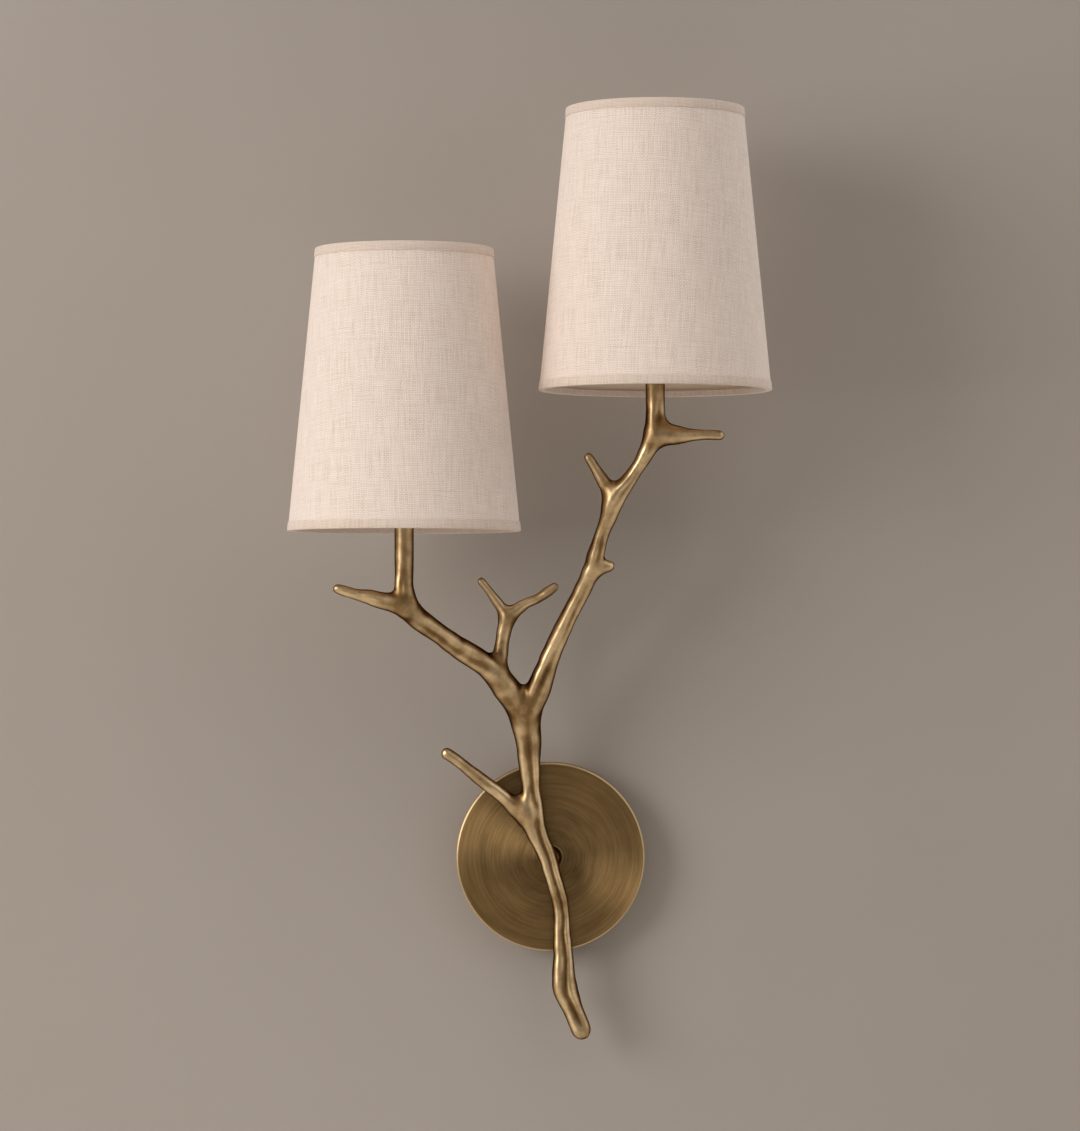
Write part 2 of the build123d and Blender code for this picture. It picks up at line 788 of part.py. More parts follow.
def make_shade_liner():
    return cone_wall(edge_low, edge_high, tape_t + cover_t, tape_t + wall_t)


def make_trim(low, high, inner_low, inner_high, closed_low, closed_high):
    """Tape folded over an edge: outer leg, fold and inner leg."""
    inner = tape_t + hem_depth
    outer_leg = cone_wall(low, high, 0.0, tape_t)
    inner_leg = cone_wall(inner_low, inner_high, inner, inner + tape_t)
    fold = cone_wall(closed_low, closed_high, 0.0, inner + tape_t)
    return outer_leg + fold + inner_leg


def make_bottom_trim():
    return make_trim(0.0, tape_width, 0.0, hem_width, 0.0, tape_t)


def make_top_trim():
    top = shade_height
    return make_trim(top - tape_width, top, top - hem_width, top, top - tape_t, top)


def frame_wire(z):
    """Steel ring in a hem."""
    middle = shade_r(z, tape_t + wall_t + wire_play + frame_wire_d / 2)
    return Pos(0, 0, z) * Torus(middle, frame_wire_d / 2)


bottom_wire_z = tape_t + wire_play + frame_wire_d / 2
top_wire_z = shade_height - bottom_wire_z


def make_fitter_ring():
    ring = tube(fitter_d / 2, fitter_hole_r, fitter_t)
    return Pos(0, 0, holder_lift + fitter_low) * ring


def make_fitter_arms():
    """Wires from the fitter up to the top ring, welded at both ends."""
    low_r = fitter_d / 2
    low_z = holder_lift + fitter_low + fitter_t / 2
    high_r = shade_r(top_wire_z, tape_t + wall_t + wire_play + frame_wire_d / 2)
    reach = sqrt((high_r - low_r) ** 2 + (top_wire_z - low_z) ** 2)
    lean = degrees(atan2(high_r - low_r, top_wire_z - low_z))
    arms = []
    for turn in range(arm_count):
        wire = Pos(low_r, 0, low_z) * Rot(Y=lean) * rod(arm_wire_d / 2, reach)
        wire = wire - make_fitter_ring() - frame_wire(top_wire_z) - make_top_trim()
        arms.append(Rot(Z=turn * 360 / arm_count + 30) * max(wire.solids(), key=lambda s: s.volume))
    return Compound(children=arms)


holder_makers = {
    "holder_nipple": make_holder_nipple,
    "holder_base": make_holder_base,
    "contact_block": make_contact_block,
    "terminal_screws": make_terminal_screws,
    "centre_contact": make_centre_contact,
    "screw_shell": make_screw_shell,
    "holder_shell": make_holder_shell,
    "shade_ring": make_shade_ring,
    "bulb_cap": make_bulb_cap,
    "bulb_glass": make_bulb_glass,
    "bulb_filament": make_bulb_filament,
}
shade_makers = {
    "shade_cover": make_shade_cover,
    "shade_liner": make_shade_liner,
    "top_trim": make_top_trim,
    "bottom_trim": make_bottom_trim,
    "top_wire": lambda: frame_wire(top_wire_z),
    "bottom_wire": lambda: frame_wire(bottom_wire_z),
    "fitter_ring": make_fitter_ring,
    "fitter_arms": make_fitter_arms,
}


def build_nodes():
    left_route = left_wire_points()
    right_route = right_wire_points()
    left_channel = channel(left_route[1:], wire_bends(left_route)[1:], channel_r)
    right_channel = channel(right_route[1:], wire_bends(right_route)[1:], channel_r)
    nodes = {
        "wall_bracket": make_wall_bracket(),
        "ground_screw": make_ground_screw(),
        "canopy": make_canopy(),
        "canopy_set_screws": make_canopy_set_screws(),
        "threaded_nipple": make_nipple(),
        "strength_washer": make_strength_washer(),
        "lock_washer": make_lock_washer(),
        "nipple_nut": make_nipple_nut(),
        "nipple_bushing": make_nipple_bushing(),
        "standoff_collar": make_collar(),
        "wire_connectors": make_wire_connectors(),
        "trunk_casting": make_trunk((left_channel, right_channel)),
        "left_limb_casting": make_left_limb(left_channel),
        "right_limb_casting": make_right_limb(right_channel),
        "left_spigot": make_spigot(left_joint, left_joint_way),
        "right_spigot": make_spigot(right_joint, right_joint_way),
        "left_stem": make_stem(left_foot),
        "right_stem": make_stem(right_foot),
        "left_lead": channel(left_route, wire_bends(left_route), lead_r),
        "right_lead": channel(right_route, wire_bends(right_route), lead_r),
    }
    for side, foot in (("left", left_foot), ("right", right_foot)):
        end = off_plate(foot)
        for name, maker in holder_makers.items():
            nodes[f"{side}_{name}"] = Pos(end.X, end.Y, stem_top(foot)) * maker()
        for name, maker in shade_makers.items():
            nodes[f"{side}_{name}"] = Pos(end.X, end.Y, shade_bottom(foot)) * maker()
    return nodes


os.makedirs("parts", exist_ok=True)
for node_name, node_shape in build_nodes().items():
    export_step(node_shape, f"parts/{node_name}.step")
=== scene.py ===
from math import cos, pi, radians, sin, sqrt, tau

import bpy
import numpy as np
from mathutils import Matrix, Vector


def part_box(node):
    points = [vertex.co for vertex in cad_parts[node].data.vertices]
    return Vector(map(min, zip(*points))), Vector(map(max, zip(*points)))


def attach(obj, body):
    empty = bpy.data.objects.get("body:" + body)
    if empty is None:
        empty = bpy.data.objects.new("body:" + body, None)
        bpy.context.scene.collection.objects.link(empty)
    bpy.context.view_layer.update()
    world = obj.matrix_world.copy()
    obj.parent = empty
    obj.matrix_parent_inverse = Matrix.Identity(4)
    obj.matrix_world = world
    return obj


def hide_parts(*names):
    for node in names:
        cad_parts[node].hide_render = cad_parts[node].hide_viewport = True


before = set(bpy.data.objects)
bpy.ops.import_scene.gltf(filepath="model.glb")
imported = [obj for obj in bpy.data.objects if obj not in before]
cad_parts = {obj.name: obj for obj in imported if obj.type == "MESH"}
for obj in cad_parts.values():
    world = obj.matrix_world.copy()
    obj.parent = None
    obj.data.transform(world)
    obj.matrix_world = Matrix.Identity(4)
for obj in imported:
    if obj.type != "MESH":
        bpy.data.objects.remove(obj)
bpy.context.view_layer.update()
MM = 0.001
SIDES = ("left", "right")

# ---- places and sizes, in millimetres ----
FEET = {                    # where each limb turns up into its stem
    "left": (-96.0, -112.0, 173.0),
    "right": (68.3, -112.0, 285.0),
}
STEM_START = {"left": 23.0, "right": 21.0}  # above the foot
STEM_STATIONS = 9
STEM_R = 6.35
BOSS_BACK = -26.0           # the boss's flat end, on the collar
SHADE_BOTTOM_R = 76.5
SHADE_TOP_R = 58.5
SHADE_HEIGHT = 185.0
TAPE_T = 0.5                # trim tape
TAPE_WIDTH = 6.0            # outside
HEM_WIDTH = 4.0             # inside
COVER_T = 0.6
WALL_T = 1.0                # linen and its stiff lining
FRAME_WIRE_D = 2.0
WIRE_PLAY = 0.03


def stem_top(side):
    """The height of a stem's flat end, in millimetres."""
    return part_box(f"{side}_stem")[1].z / MM


# ---- meshes ----
def add_mesh(name, verts, faces, smooth=True):
    mesh = bpy.data.meshes.new(name)
    mesh.from_pydata([tuple(v) for v in verts], [], [tuple(f) for f in faces])
    mesh.validate()
    mesh.update()
    if smooth:
        mesh.polygons.foreach_set("use_smooth", [True] * len(mesh.polygons))
    piece = bpy.data.objects.new(name, mesh)
    bpy.context.scene.collection.objects.link(piece)
    return piece


def set_attribute(piece, name, values, kind="FLOAT"):
    """A value for each vertex, that materials read by its name."""
    layer = piece.data.attributes.new(name, kind, "POINT")
    key = "vector" if kind == "FLOAT_VECTOR" else "value"
    layer.data.foreach_set(key, np.asarray(values, dtype=np.float32).ravel())


# ---- the branch ----
# Each row: sideways, out from the wall, up, radius, in millimetres.
TRUNK = [
    (20.3, 30, -115.2, 7.3), (16.9, 30, -106.4, 7.2), (12.8, 30, -96.3, 7.9),
    (9.5, 30, -87, 9), (8.7, 30.5, -79.4, 8.3), (8.4, 31, -65.9, 7.1),
    (8, 31.5, -57, 6.7), (7.8, 32, -49, 6.1), (7, 33, -35.5, 5.8),
    (6.2, 33.5, -28.7, 5.8), (4.5, 34, -22, 5.9), (2.4, 34.8, -15, 5.9),
    (0.4, 35.5, -8.4, 6.2), (-1.3, 36, -1.7, 6.1), (-3.9, 36.5, 5.1, 6.5),
    (-7.1, 37.5, 11.8, 6.9), (-10.1, 38.5, 18.6, 7.6), (-12.4, 39.5, 27.5, 8.3),
    (-12.7, 40.5, 38.8, 7.3), (-13.3, 42, 48.9, 6.9), (-13.8, 43.5, 59.1, 7.7),
    (-14.5, 45, 69.1, 8.3), (-14.9, 46.6, 79.2, 9.1), (-16.7, 48.9, 92, 10.6),
    (-17.6, 50.9, 99.5, 10.9), (-18, 54, 104.6, 9.2), (-18.3, 56.4, 107.8, 6.6),
]
LOWER_TWIG = [
    (-17, 40, 30, 7.4), (-21.6, 40.5, 33, 7), (-27.2, 41.4, 37.7, 5.6),
    (-33.9, 42.4, 43.4, 5), (-40.6, 43.4, 48.3, 5), (-48.3, 44.8, 54.3, 4.8),
    (-54.7, 46.2, 59.5, 4.3), (-61.4, 47.6, 64.9, 4.2), (-69.3, 49, 70.3, 4),
]
LEFT_ARM = [
    (-18.4, 52.3, 98.4, 9), (-23.8, 56.4, 106.9, 9.5), (-29.6, 60.2, 114.4, 9.4),
    (-36.6, 64.5, 123.6, 8.9), (-42.2, 67, 129, 8.5), (-49.6, 70.3, 134.1, 8.1),
    (-62.1, 78.3, 142.2, 7.4), (-72.2, 86.3, 149.6, 7.1), (-81.6, 94.8, 156.3, 7.1),
    (-88.8, 102.6, 162.3, 7.7), (-93.4, 109.2, 168.4, 7.7), (-95.5, 111.6, 176, 7),
    (-96, 112, 183, 6.5), (-96, 112, 189, 6.4), (-96, 112, 196, STEM_R),
]
LEFT_TWIG = [
    (-95.6, 110.6, 168.4, 7.9), (-102.2, 112, 170.6, 6.7), (-110.6, 112.5, 172.1, 5.7),
    (-119.6, 113, 174.6, 4.9), (-128.3, 113.5, 176.4, 3.8), (-134.8, 114, 178.4, 3.8),
    (-139.4, 114, 179.8, 3.2),
]
FORKED_TWIG = [
    (-35.5, 64.5, 123, 7.2), (-34.3, 64, 131, 6), (-33.1, 64, 139.5, 5.1),
    (-32.1, 64.3, 146.2, 4.8), (-30.6, 64.8, 154, 5.1), (-28.6, 65.3, 161.6, 5.3),
]
FORK_LEFT = [
    (-28.5, 65.3, 161, 4.6), (-32.4, 65.5, 167.4, 4.2), (-35.8, 65.8, 171.9, 3.7),
    (-39.7, 66.2, 177.2, 3), (-42.9, 66.6, 181.4, 2.9), (-46, 67, 185.3, 3),
]
FORK_RIGHT = [
    (-28.5, 65.3, 162, 4.8), (-22.8, 65.8, 166.3, 4.5), (-16.6, 66.2, 170.4, 3.7),
    (-8.6, 67, 174, 3.2), (-1.4, 67.8, 178.8, 3.5), (2.4, 68.2, 181.6, 3),
]
RIGHT_ARM = [
    (-15.4, 52.4, 98.5, 8.9), (-12.2, 56.2, 105.6, 9), (-8.9, 59.5, 112.5, 8.7),
    (-3.9, 64, 125.1, 7.6), (0.3, 68, 137, 6.8), (6.2, 73, 150.2, 6.1),
    (13.2, 78.5, 164.7, 5.8), (20.4, 84, 178.6, 5.8), (26, 89, 190.4, 6),
    (30.3, 93.8, 204.3, 5.8), (33.6, 97.6, 216.1, 5.1), (37.4, 100.6, 225.8, 5.6),
    (40.8, 103.4, 237, 7), (44.2, 104.6, 243.2, 6.8), (49.8, 106.4, 249.9, 5.2),
    (55.3, 108, 257.4, 4.7), (59.7, 109.5, 264, 5.1), (63.9, 111, 272.2, 5.8),
    (67.2, 111.9, 280, 6.8), (68.3, 112, 286.5, 6.6), (68.3, 112, 292.5, 6.4),
    (68.3, 112, 298.5, 6.4), (68.3, 112, 306, STEM_R),
]
RIGHT_TWIG = [
    (71, 112.2, 281.2, 6.6), (75, 112.3, 281, 6.8), (80.6, 112.7, 280.5, 6.3),
    (86, 113, 280.4, 5.2), (91, 113.2, 280.4, 4.2), (100.8, 113.4, 280.6, 3.2),
    (106, 113.6, 280.5, 3.3), (110.6, 113.8, 280.3, 3.1),
]
UPPER_TWIG = [
    (39.2, 104.2, 243.2, 5.2), (36.6, 104.4, 247, 4.9), (32.9, 104.8, 253.1, 4.2),
    (29, 105.4, 259.6, 3.4), (24.9, 106, 266.1, 3.3),
]
KNOB = [(26.4, 89.2, 190.4, 4.9), (31.6, 89.8, 192.9, 4.7), (38.2, 90.6, 195.1, 3.9)]


def stem(side):
    """The straight stem above an arm, in steps short enough for a smooth line."""
    x, y, low = FEET[side]
    start = low + STEM_START[side]
    top = stem_top(side) + STEM_R  # past its end, which is cut flat afterwards
    return [(x, -y, z, STEM_R) for z in np.linspace(start, top, STEM_STATIONS + 1)[1:]]


LIMBS = [                   # stations, and the width of the blend where it joins
    (TRUNK, 0), (LEFT_ARM + stem("left"), 4), (RIGHT_ARM + stem("right"), 3.5),
    (LOWER_TWIG, 7), (LEFT_TWIG, 3), (FORKED_TWIG, 3), (FORK_LEFT, 3.5),
    (FORK_RIGHT, 3.5), (RIGHT_TWIG, 9), (UPPER_TWIG, 4.5), (KNOB, 4),
]
VOXEL = 0.9                 # millimetres
BAND = 9.0                  # the field is worked out this far from each limb
SAMPLE_STEP = 0.6
LIMB_REACH = 25.0           # vertices further than this are not of the limb
CHUNK = 4000                # vertices measured at a time


def limb_line(rows):
    """Points and radii closely spaced along a smooth curve through a limb's rows."""
    rows = np.array(rows, dtype=float)
    rows[:, 1] *= -1.0
    steps = np.linalg.norm(np.diff(rows[:, :3], axis=0), axis=1)
    along = np.concatenate([[0.0], np.cumsum(steps)])
    slopes = np.gradient(rows, along, axis=0)
    where = np.linspace(0.0, along[-1], int(along[-1] / SAMPLE_STEP) + 2)
    i = np.clip(np.searchsorted(along, where, side="right") - 1, 0, len(rows) - 2)
    span = (along[i + 1] - along[i])[:, None]
    t = (where - along[i])[:, None] / span
    line = ((2 * t**3 - 3 * t**2 + 1) * rows[i] + (t**3 - 2 * t**2 + t) * span * slopes[i]
            + (3 * t**2 - 2 * t**3) * rows[i + 1] + (t**3 - t**2) * span * slopes[i + 1])
    return line, where


def smooth_union(a, b, width):
    """The lower of two distance fields, rounded where they meet."""
    if width <= 0.0:
        return np.minimum(a, b)
    near = np.maximum(width - np.abs(a - b), 0.0) / width
    return np.minimum(a, b) - near * near * width * 0.25


def branch_field(lines, blends):
    """Distance to the branch's skin on a grid, negative inside."""
    points = np.concatenate([line[:, :3] for line in lines])
    low = points.min(axis=0) - BAND * 2
    shape = np.ceil((points.max(axis=0) + BAND * 2 - low) / VOXEL).astype(int)
    field = np.full(shape, BAND, dtype=np.float32)
    axes = [low[k] + VOXEL * np.arange(shape[k]) for k in range(3)]
    for line, blend in zip(lines, blends):
        own = np.full(shape, BAND, dtype=np.float32)
        for x, y, z, r in line:
            reach = r + BAND
            cut = []
            for k, c in enumerate((x, y, z)):
                first = max(int((c - reach - low[k]) / VOXEL), 0)
                cut.append(slice(first, int((c + reach - low[k]) / VOXEL) + 2))
            dx = (axes[0][cut[0]] - x)[:, None, None]
            dy = (axes[1][cut[1]] - y)[None, :, None]
            dz = (axes[2][cut[2]] - z)[None, None, :]
            away = np.sqrt(dx * dx + dy * dy + dz * dz) - r
            box = own[tuple(cut)]
            np.minimum(box, away, out=box)
        field = smooth_union(field, own, blend)
    return field, low


def surface_net(field, low, pitch):
    """A closed mesh of quads on the field's zero surface."""
    inside = field < 0.0
    corners = [(i, j, k) for i in (0, 1) for j in (0, 1) for k in (0, 1)]
    size = np.array(field.shape) - 1

    def shifted(grid, c):
        return grid[c[0]:c[0] + size[0], c[1]:c[1] + size[1], c[2]:c[2] + size[2]]

    total = sum(shifted(inside, c).astype(np.int8) for c in corners)
    cells = np.argwhere((total > 0) & (total < 8))
    values = np.stack([field[tuple((cells + c).T)] for c in corners], axis=1)
    place = np.zeros((len(cells), 3))
    count = np.zeros(len(cells))
    for a, ca in enumerate(corners):
        for b, cb in enumerate(corners):
            if b > a and sum(abs(p - q) for p, q in zip(ca, cb)) == 1:
                va, vb = values[:, a], values[:, b]
                cross = (va < 0) != (vb < 0)
                t = np.where(cross, va / np.where(cross, va - vb, 1.0), 0.0)
                spot = np.array(ca) + t[:, None] * (np.array(cb) - np.array(ca))
                place += np.where(cross[:, None], spot, 0.0)
                count += cross
    verts = low + (cells + place / count[:, None]) * pitch
    index = np.full(tuple(size), -1, dtype=np.int32)
    index[tuple(cells.T)] = np.arange(len(cells))
    quads = []
    for axis in range(3):
        step, u, v = (np.eye(3, dtype=int)[(axis + k) % 3] for k in range(3))
        here = inside[1:-1, 1:-1, 1:-1]
        there = inside[1 + step[0]:field.shape[0] - 1 + step[0],
                       1 + step[1]:field.shape[1] - 1 + step[1],
                       1 + step[2]:field.shape[2] - 1 + step[2]]
        for sign in (True, False):
            edge = np.argwhere((here != there) & (here == sign)) + 1
            ring = [edge - u - v, edge - v, edge, edge - u]
            quad = np.stack([index[tuple(r.T)] for r in ring], axis=1)
            quads.append(quad if sign else quad[:, ::-1])
    return verts, np.concatenate(quads)


def smooth_verts(verts, quads, rounds, share):
    """Moves each vertex part of the way to the middle of its neighbours."""
    pairs = np.concatenate([quads[:, [k, (k + 1) % 4]] for k in range(4)])
    pairs = np.concatenate([pairs, pairs[:, ::-1]])
    count = np.bincount(pairs[:, 0], minlength=len(verts))[:, None]
    for _ in range(rounds):
        middle = np.stack([np.bincount(pairs[:, 0], verts[pairs[:, 1], k], len(verts))
                           for k in range(3)], axis=1) / count
        verts = verts + (middle - verts) * share
    return verts


def unit(vectors):
    return vectors / np.linalg.norm(vectors, axis=1)[:, None]


def vertex_normals(verts, quads):
    a, b, c, d = (verts[quads[:, k]] for k in range(4))
    face = np.cross(c - a, d - b)
    normals = np.zeros_like(verts)
    for k in range(4):
        for axis in range(3):
            normals[:, axis] += np.bincount(quads[:, k], face[:, axis], len(verts))
    return unit(normals)


def limb_place(verts, lines, alongs):
    """For each vertex: its limb, its way along it, its turn round it, the limb's radius there, and
    how much further off the next limb is."""
    gaps = []
    nearest = []
    for line in lines:
        best = np.full(len(verts), np.inf)
        which = np.zeros(len(verts), dtype=int)
        low, high = line[:, :3].min(axis=0) - LIMB_REACH, line[:, :3].max(axis=0) + LIMB_REACH
        close = np.nonzero(((verts > low) & (verts < high)).all(axis=1))[0]
        for part in np.array_split(close, max(len(close) // CHUNK, 1)):
            apart = np.linalg.norm(verts[part][:, None] - line[None, :, :3], axis=2) - line[:, 3]
            which[part] = apart.argmin(axis=1)
            best[part] = apart.min(axis=1)
        gaps.append(best)
        nearest.append(which)
    gaps = np.array(gaps)
    order = gaps.argsort(axis=0)
    limb, second = order[0], order[1]
    rows = np.arange(len(verts))
    spare = gaps[second, rows] - gaps[limb, rows]
    at = np.array(nearest)[limb, rows]
    along, turn, radius = np.zeros((3, len(verts)))
    for i, line in enumerate(lines):
        own = limb == i
        way = unit(np.gradient(line[:, :3], axis=0))
        front = unit(np.array([0.0, -1.0, 0.0]) - way * (-way[:, 1:2]))
        side = np.cross(way, front)
        spot = at[own]
        out = verts[own] - line[spot, :3]
        turn[own] = np.arctan2((out * side[spot]).sum(axis=1), (out * front[spot]).sum(axis=1))
        along[own] = alongs[i][spot]
        radius[own] = line[spot, 3]
    return limb, along, turn, radius, spare


def drift(x, seed, *lengths):
    """A smooth wandering value of about -1 to 1, from waves of some lengths along x."""
    rng = np.random.default_rng(seed)
    total = np.zeros_like(x, dtype=float)
    for length in lengths:
        total += np.sin(x * tau / length + rng.uniform(0, tau))
    return total / len(lengths)


def lumps(points, seed, length):
    """Smooth random lumps in space, about -1 to 1."""
    rng = np.random.default_rng(seed)
    total = np.zeros(len(points))
    for _ in range(LUMP_WAVES):
        way = rng.normal(size=3)
        way /= np.linalg.norm(way)
        wave = length * rng.uniform(0.75, 1.5)
        total += np.sin(points @ way * tau / wave + rng.uniform(0, tau))
    return total / sqrt(LUMP_WAVES)


def furrow(turn, centre, width, before=None):
    """How deep in a furrow a turn is, from 0 to 1; before is its width at smaller turns."""
    gap = (turn - centre + pi) % tau - pi
    return np.exp(-(gap / np.where(gap < 0, before or width, width)) ** 2)


# A turn round a limb is in radians, from its front; depths and heights are in millimetres.
VALLEY = [                  # the trunk's front valley: height, and its turn
    (-116, 0.2), (-103, 0.15), (-92, 0.03), (-80, 0.2), (-67, 0.3), (-50, 0.14),
    (-38, 0.3), (-25, 0.13), (-8, 0.12), (8, 0.16), (25, 0.44), (33, 0.46),
    (45, 0.22), (60, 0.16), (70, 0.08), (82, 0.02), (93, 0.14), (108, 0.5),
]
VALLEY_DEPTH = [            # height, and depth
    (-117, 0), (-108, 0.9), (-80, 1.4), (-30, 1.5), (10, 1.4), (40, 1.4),
    (60, 1.1), (78, 0.8), (92, 0.7), (105, 0.6),
]
VALLEY_WIDTHS = (0.24, 0.46)  # at larger and at smaller turns
# Lines beside a valley: how far each stands out (a furrow's is negative), its turn from the valley
# and its width, then the swing, the seed and the wave lengths of its wandering, if it wanders.
TRUNK_LINES = [
    (0.35, -0.95, 0.40), (0.38, 0.58, 0.34),
    (-0.55, -1.75, 0.42, 0.15, 6, 70, 41), (-0.55, 1.5, 0.36, 0.15, 7, 80, 37),
]
TRUNK_BACK = [(-0.6, pi, 0.5, 0.3, 8, 60)]
ARM_VALLEYS = {1: (-0.28, 0.45), 2: (0.38, 0.6)}  # left and right arm: turn, and depth
TWIG_VALLEY = (-0.2, 0.25)
ARM_LINES = [               # for a valley 1 deep
    (-1.0, 0.0, 0.34), (0.42, -0.75, 0.36), (0.42, 0.75, 0.36),
    (-0.60, 1.6, 0.42, 0.2, 40, 61), (-0.60, -1.6, 0.42), (-0.4, pi, 0.5),
]
ARM_WANDER = 0.22           # how far an arm's valley turns either way
ARM_VARIES = 0.35           # the share by which its relief grows and fades
FORK_VALLEY = [             # over the fork into the right arm: height, and place along X
    (86, -16), (93, -15.4), (99, -14.1), (105, -11.8), (113, -9.1), (121, -5.2),
    (130, -1.2),
]
FORK_RIDGE = [(86, -11.4), (91, -11.9), (101, -9.8), (113, -4.7), (130, 2)]
FORK_LOW, FORK_HIGH = FORK_VALLEY[0][0], FORK_VALLEY[-1][0]
FORK_FADES = (9.0, 12.0)    # the relief grows and fades over these heights
FORK_VALLEY_SHAPE = (0.6, 2.2)  # depth, and width
FORK_RIDGE_SHAPE = (0.4, 2.0)
FULL_RELIEF_R = 6.5         # limbs thinner than this have less relief
SWELL = 0.14
SWELL_LENGTHS = (13, 19, 29)
LUMP_WAVES = 14
LUMPS = [(3, 21.0, 0.15), (4, 9.0, 0.06)]  # seed, length, and height
DENT_COUNT = 220
DENT_WIDTHS = (2.6, 6.0)
DENT_DEPTHS = (0.05, 0.20)
DENT_SHARE = 0.6            # the others are bulges
BULGE = 0.9                 # a bulge's height to a dent's depth
SEAM_WIDTH = 7.0            # either side of the seam between two limbs
SEAM_ROUNDS = 30
HOLLOW_MOST = 0.16          # deeper hollows are no browner
SEAM_HOLLOW = -0.42         # what the tone of the seams is drawn towards
LIMB_TONE_SHIFT = np.array(     # added to each limb's hollows, darkening or lightening that limb's tone
    [-0.04, 0.05, 0.0, 0.16, 0.08, 0.0, 0.05, 0.05, 0.0, 0.05, 0.0])


def relief_lines(turn, way, middle, limb, lines):
    """The sum of the furrows and ridges that run beside a valley."""
    total = np.zeros(len(turn))
    for height, apart, width, *wander in lines:
        spot = middle + apart
        if wander:
            swing, seed, *lengths = wander
            spot = spot + swing * drift(way, seed + limb, *lengths)
        total += height * furrow(turn, spot, width)
    return total


def trunk_relief(turn, height, way):
    """The long valley down the trunk's front, the ridges beside it and shallower flanks."""
    middle = np.interp(height, *zip(*VALLEY))
    depth = np.interp(height, *zip(*VALLEY_DEPTH))
    relief = -depth * furrow(turn, middle, *VALLEY_WIDTHS)
    relief += relief_lines(turn, way, middle, 0, TRUNK_LINES)
    return relief + relief_lines(turn, way, 0.0, 0, TRUNK_BACK)


def arm_relief(turn, way, limb):
    """A long shallow valley wandering down the front, a ridge either side, and flat flanks."""
    middle, depth = ARM_VALLEYS.get(limb, TWIG_VALLEY)
    middle = middle + ARM_WANDER * drift(way, 20 + limb, 95, 57)
    relief = relief_lines(turn, way, middle, limb, ARM_LINES)
    return relief * depth * (1.0 + ARM_VARIES * drift(way, 60 + limb, 47))


def fork_relief(verts, normals):
    """The trunk's valley and the ridge beside it, carried on over the fork's front."""
    x, height = verts[:, 0], verts[:, 2]
    valley = x - np.interp(height, *zip(*FORK_VALLEY))
    ridge = x - np.interp(height, *zip(*FORK_RIDGE))
    grown = np.clip((height - FORK_LOW) / FORK_FADES[0], 0.0, 1.0)
    unfaded = np.clip((FORK_HIGH - height) / FORK_FADES[1], 0.0, 1.0)
    facing = np.clip((-normals[:, 1] - 0.2) / 0.4, 0.0, 1.0)
    raised, ridge_width = FORK_RIDGE_SHAPE
    sunk, valley_width = FORK_VALLEY_SHAPE
    relief = raised * np.exp(-(ridge / ridge_width) ** 2)
    relief -= sunk * np.exp(-(valley / valley_width) ** 2)
    return relief * (grown * unfaded) * facing


def dents(verts):
    """Shallow flats left by the tool, at random places over the casting."""
    rng = np.random.default_rng(11)
    move = np.zeros(len(verts))
    for spot in rng.choice(len(verts), DENT_COUNT, replace=False):
        wide = rng.uniform(*DENT_WIDTHS)
        deep = rng.uniform(*DENT_DEPTHS) * (1.0 if rng.random() < DENT_SHARE else -BULGE)
        near = (((verts - verts[spot]) ** 2).sum(axis=1) < (2.5 * wide) ** 2).nonzero()[0]
        away = verts[near] - verts[spot]
        move[near] -= deep * np.exp(-(away**2).sum(axis=1) / wide**2)
    return move


def carve(verts, normals, place):
    """Ridges along the limbs, and the lumps of hand-worked casting wax."""
    limb, along, turn, radius, spare = place
    clear = np.clip(spare / 5.0, 0.0, 1.0)  # no ridges in the crotches
    relief = np.zeros(len(verts))
    for i in range(len(LIMBS)):
        own = limb == i
        way, around = along[own], turn[own]
        if i == 0:
            raised = trunk_relief(around, verts[own, 2], way)
        else:
            raised = arm_relief(around, way, i)
        swell = SWELL * drift(way, 80 + i, *SWELL_LENGTHS)
        relief[own] = (raised + swell) * np.clip(radius[own] / FULL_RELIEF_R, 0.4, 1.15)
    lumpy = sum(lumps(verts, seed, length) * height for seed, length, height in LUMPS)
    relief = relief * clear + fork_relief(verts, normals)
    return verts + normals * (relief + lumpy + dents(verts))[:, None]


BOSS_BLEND = 3.0
BOSS_LENGTH = 10.0
BOSS_REACH = 16.0           # the boss's blend ends within this of its middle
STEM_REACH = 20.0           # a stem's cut goes this far to its sides
STEM_CUT = 10.0             # and is worked out from this far below its end
STEM_PLAIN = 26.0           # stems are plain from this height above their feet
STEM_FADE = 16.0            # the casting's relief fades over this height
STEM_SIDE = 12.0            # a stem's vertices are this near to its middle, sideways
FINE_ROUNDS = 10            # smoothing that leaves the narrow hollows out
BROAD_ROUNDS = 32           # and, after it, the wide ones
SMOOTH_SHARE = 0.6


def add_boss(field, low):
    """The round boss on the trunk's back, flat where it meets the collar."""
    shape = field.shape
    x, y, z = (low[k] + VOXEL * np.arange(shape[k]) for k in range(3))
    near_x, near_z = np.abs(x) < BOSS_REACH, np.abs(z) < BOSS_REACH
    box = np.ix_(near_x, np.ones(shape[1], bool), near_z)
    radial = np.sqrt(x[near_x][:, None, None] ** 2 + z[near_z][None, None, :] ** 2) - STEM_R
    back = (y - BOSS_BACK)[None, :, None]
    front = (BOSS_BACK - BOSS_LENGTH - y)[None, :, None]
    boss = np.maximum(np.maximum(radial, back), front)
    field[box] = smooth_union(field[box], boss, BOSS_BLEND)


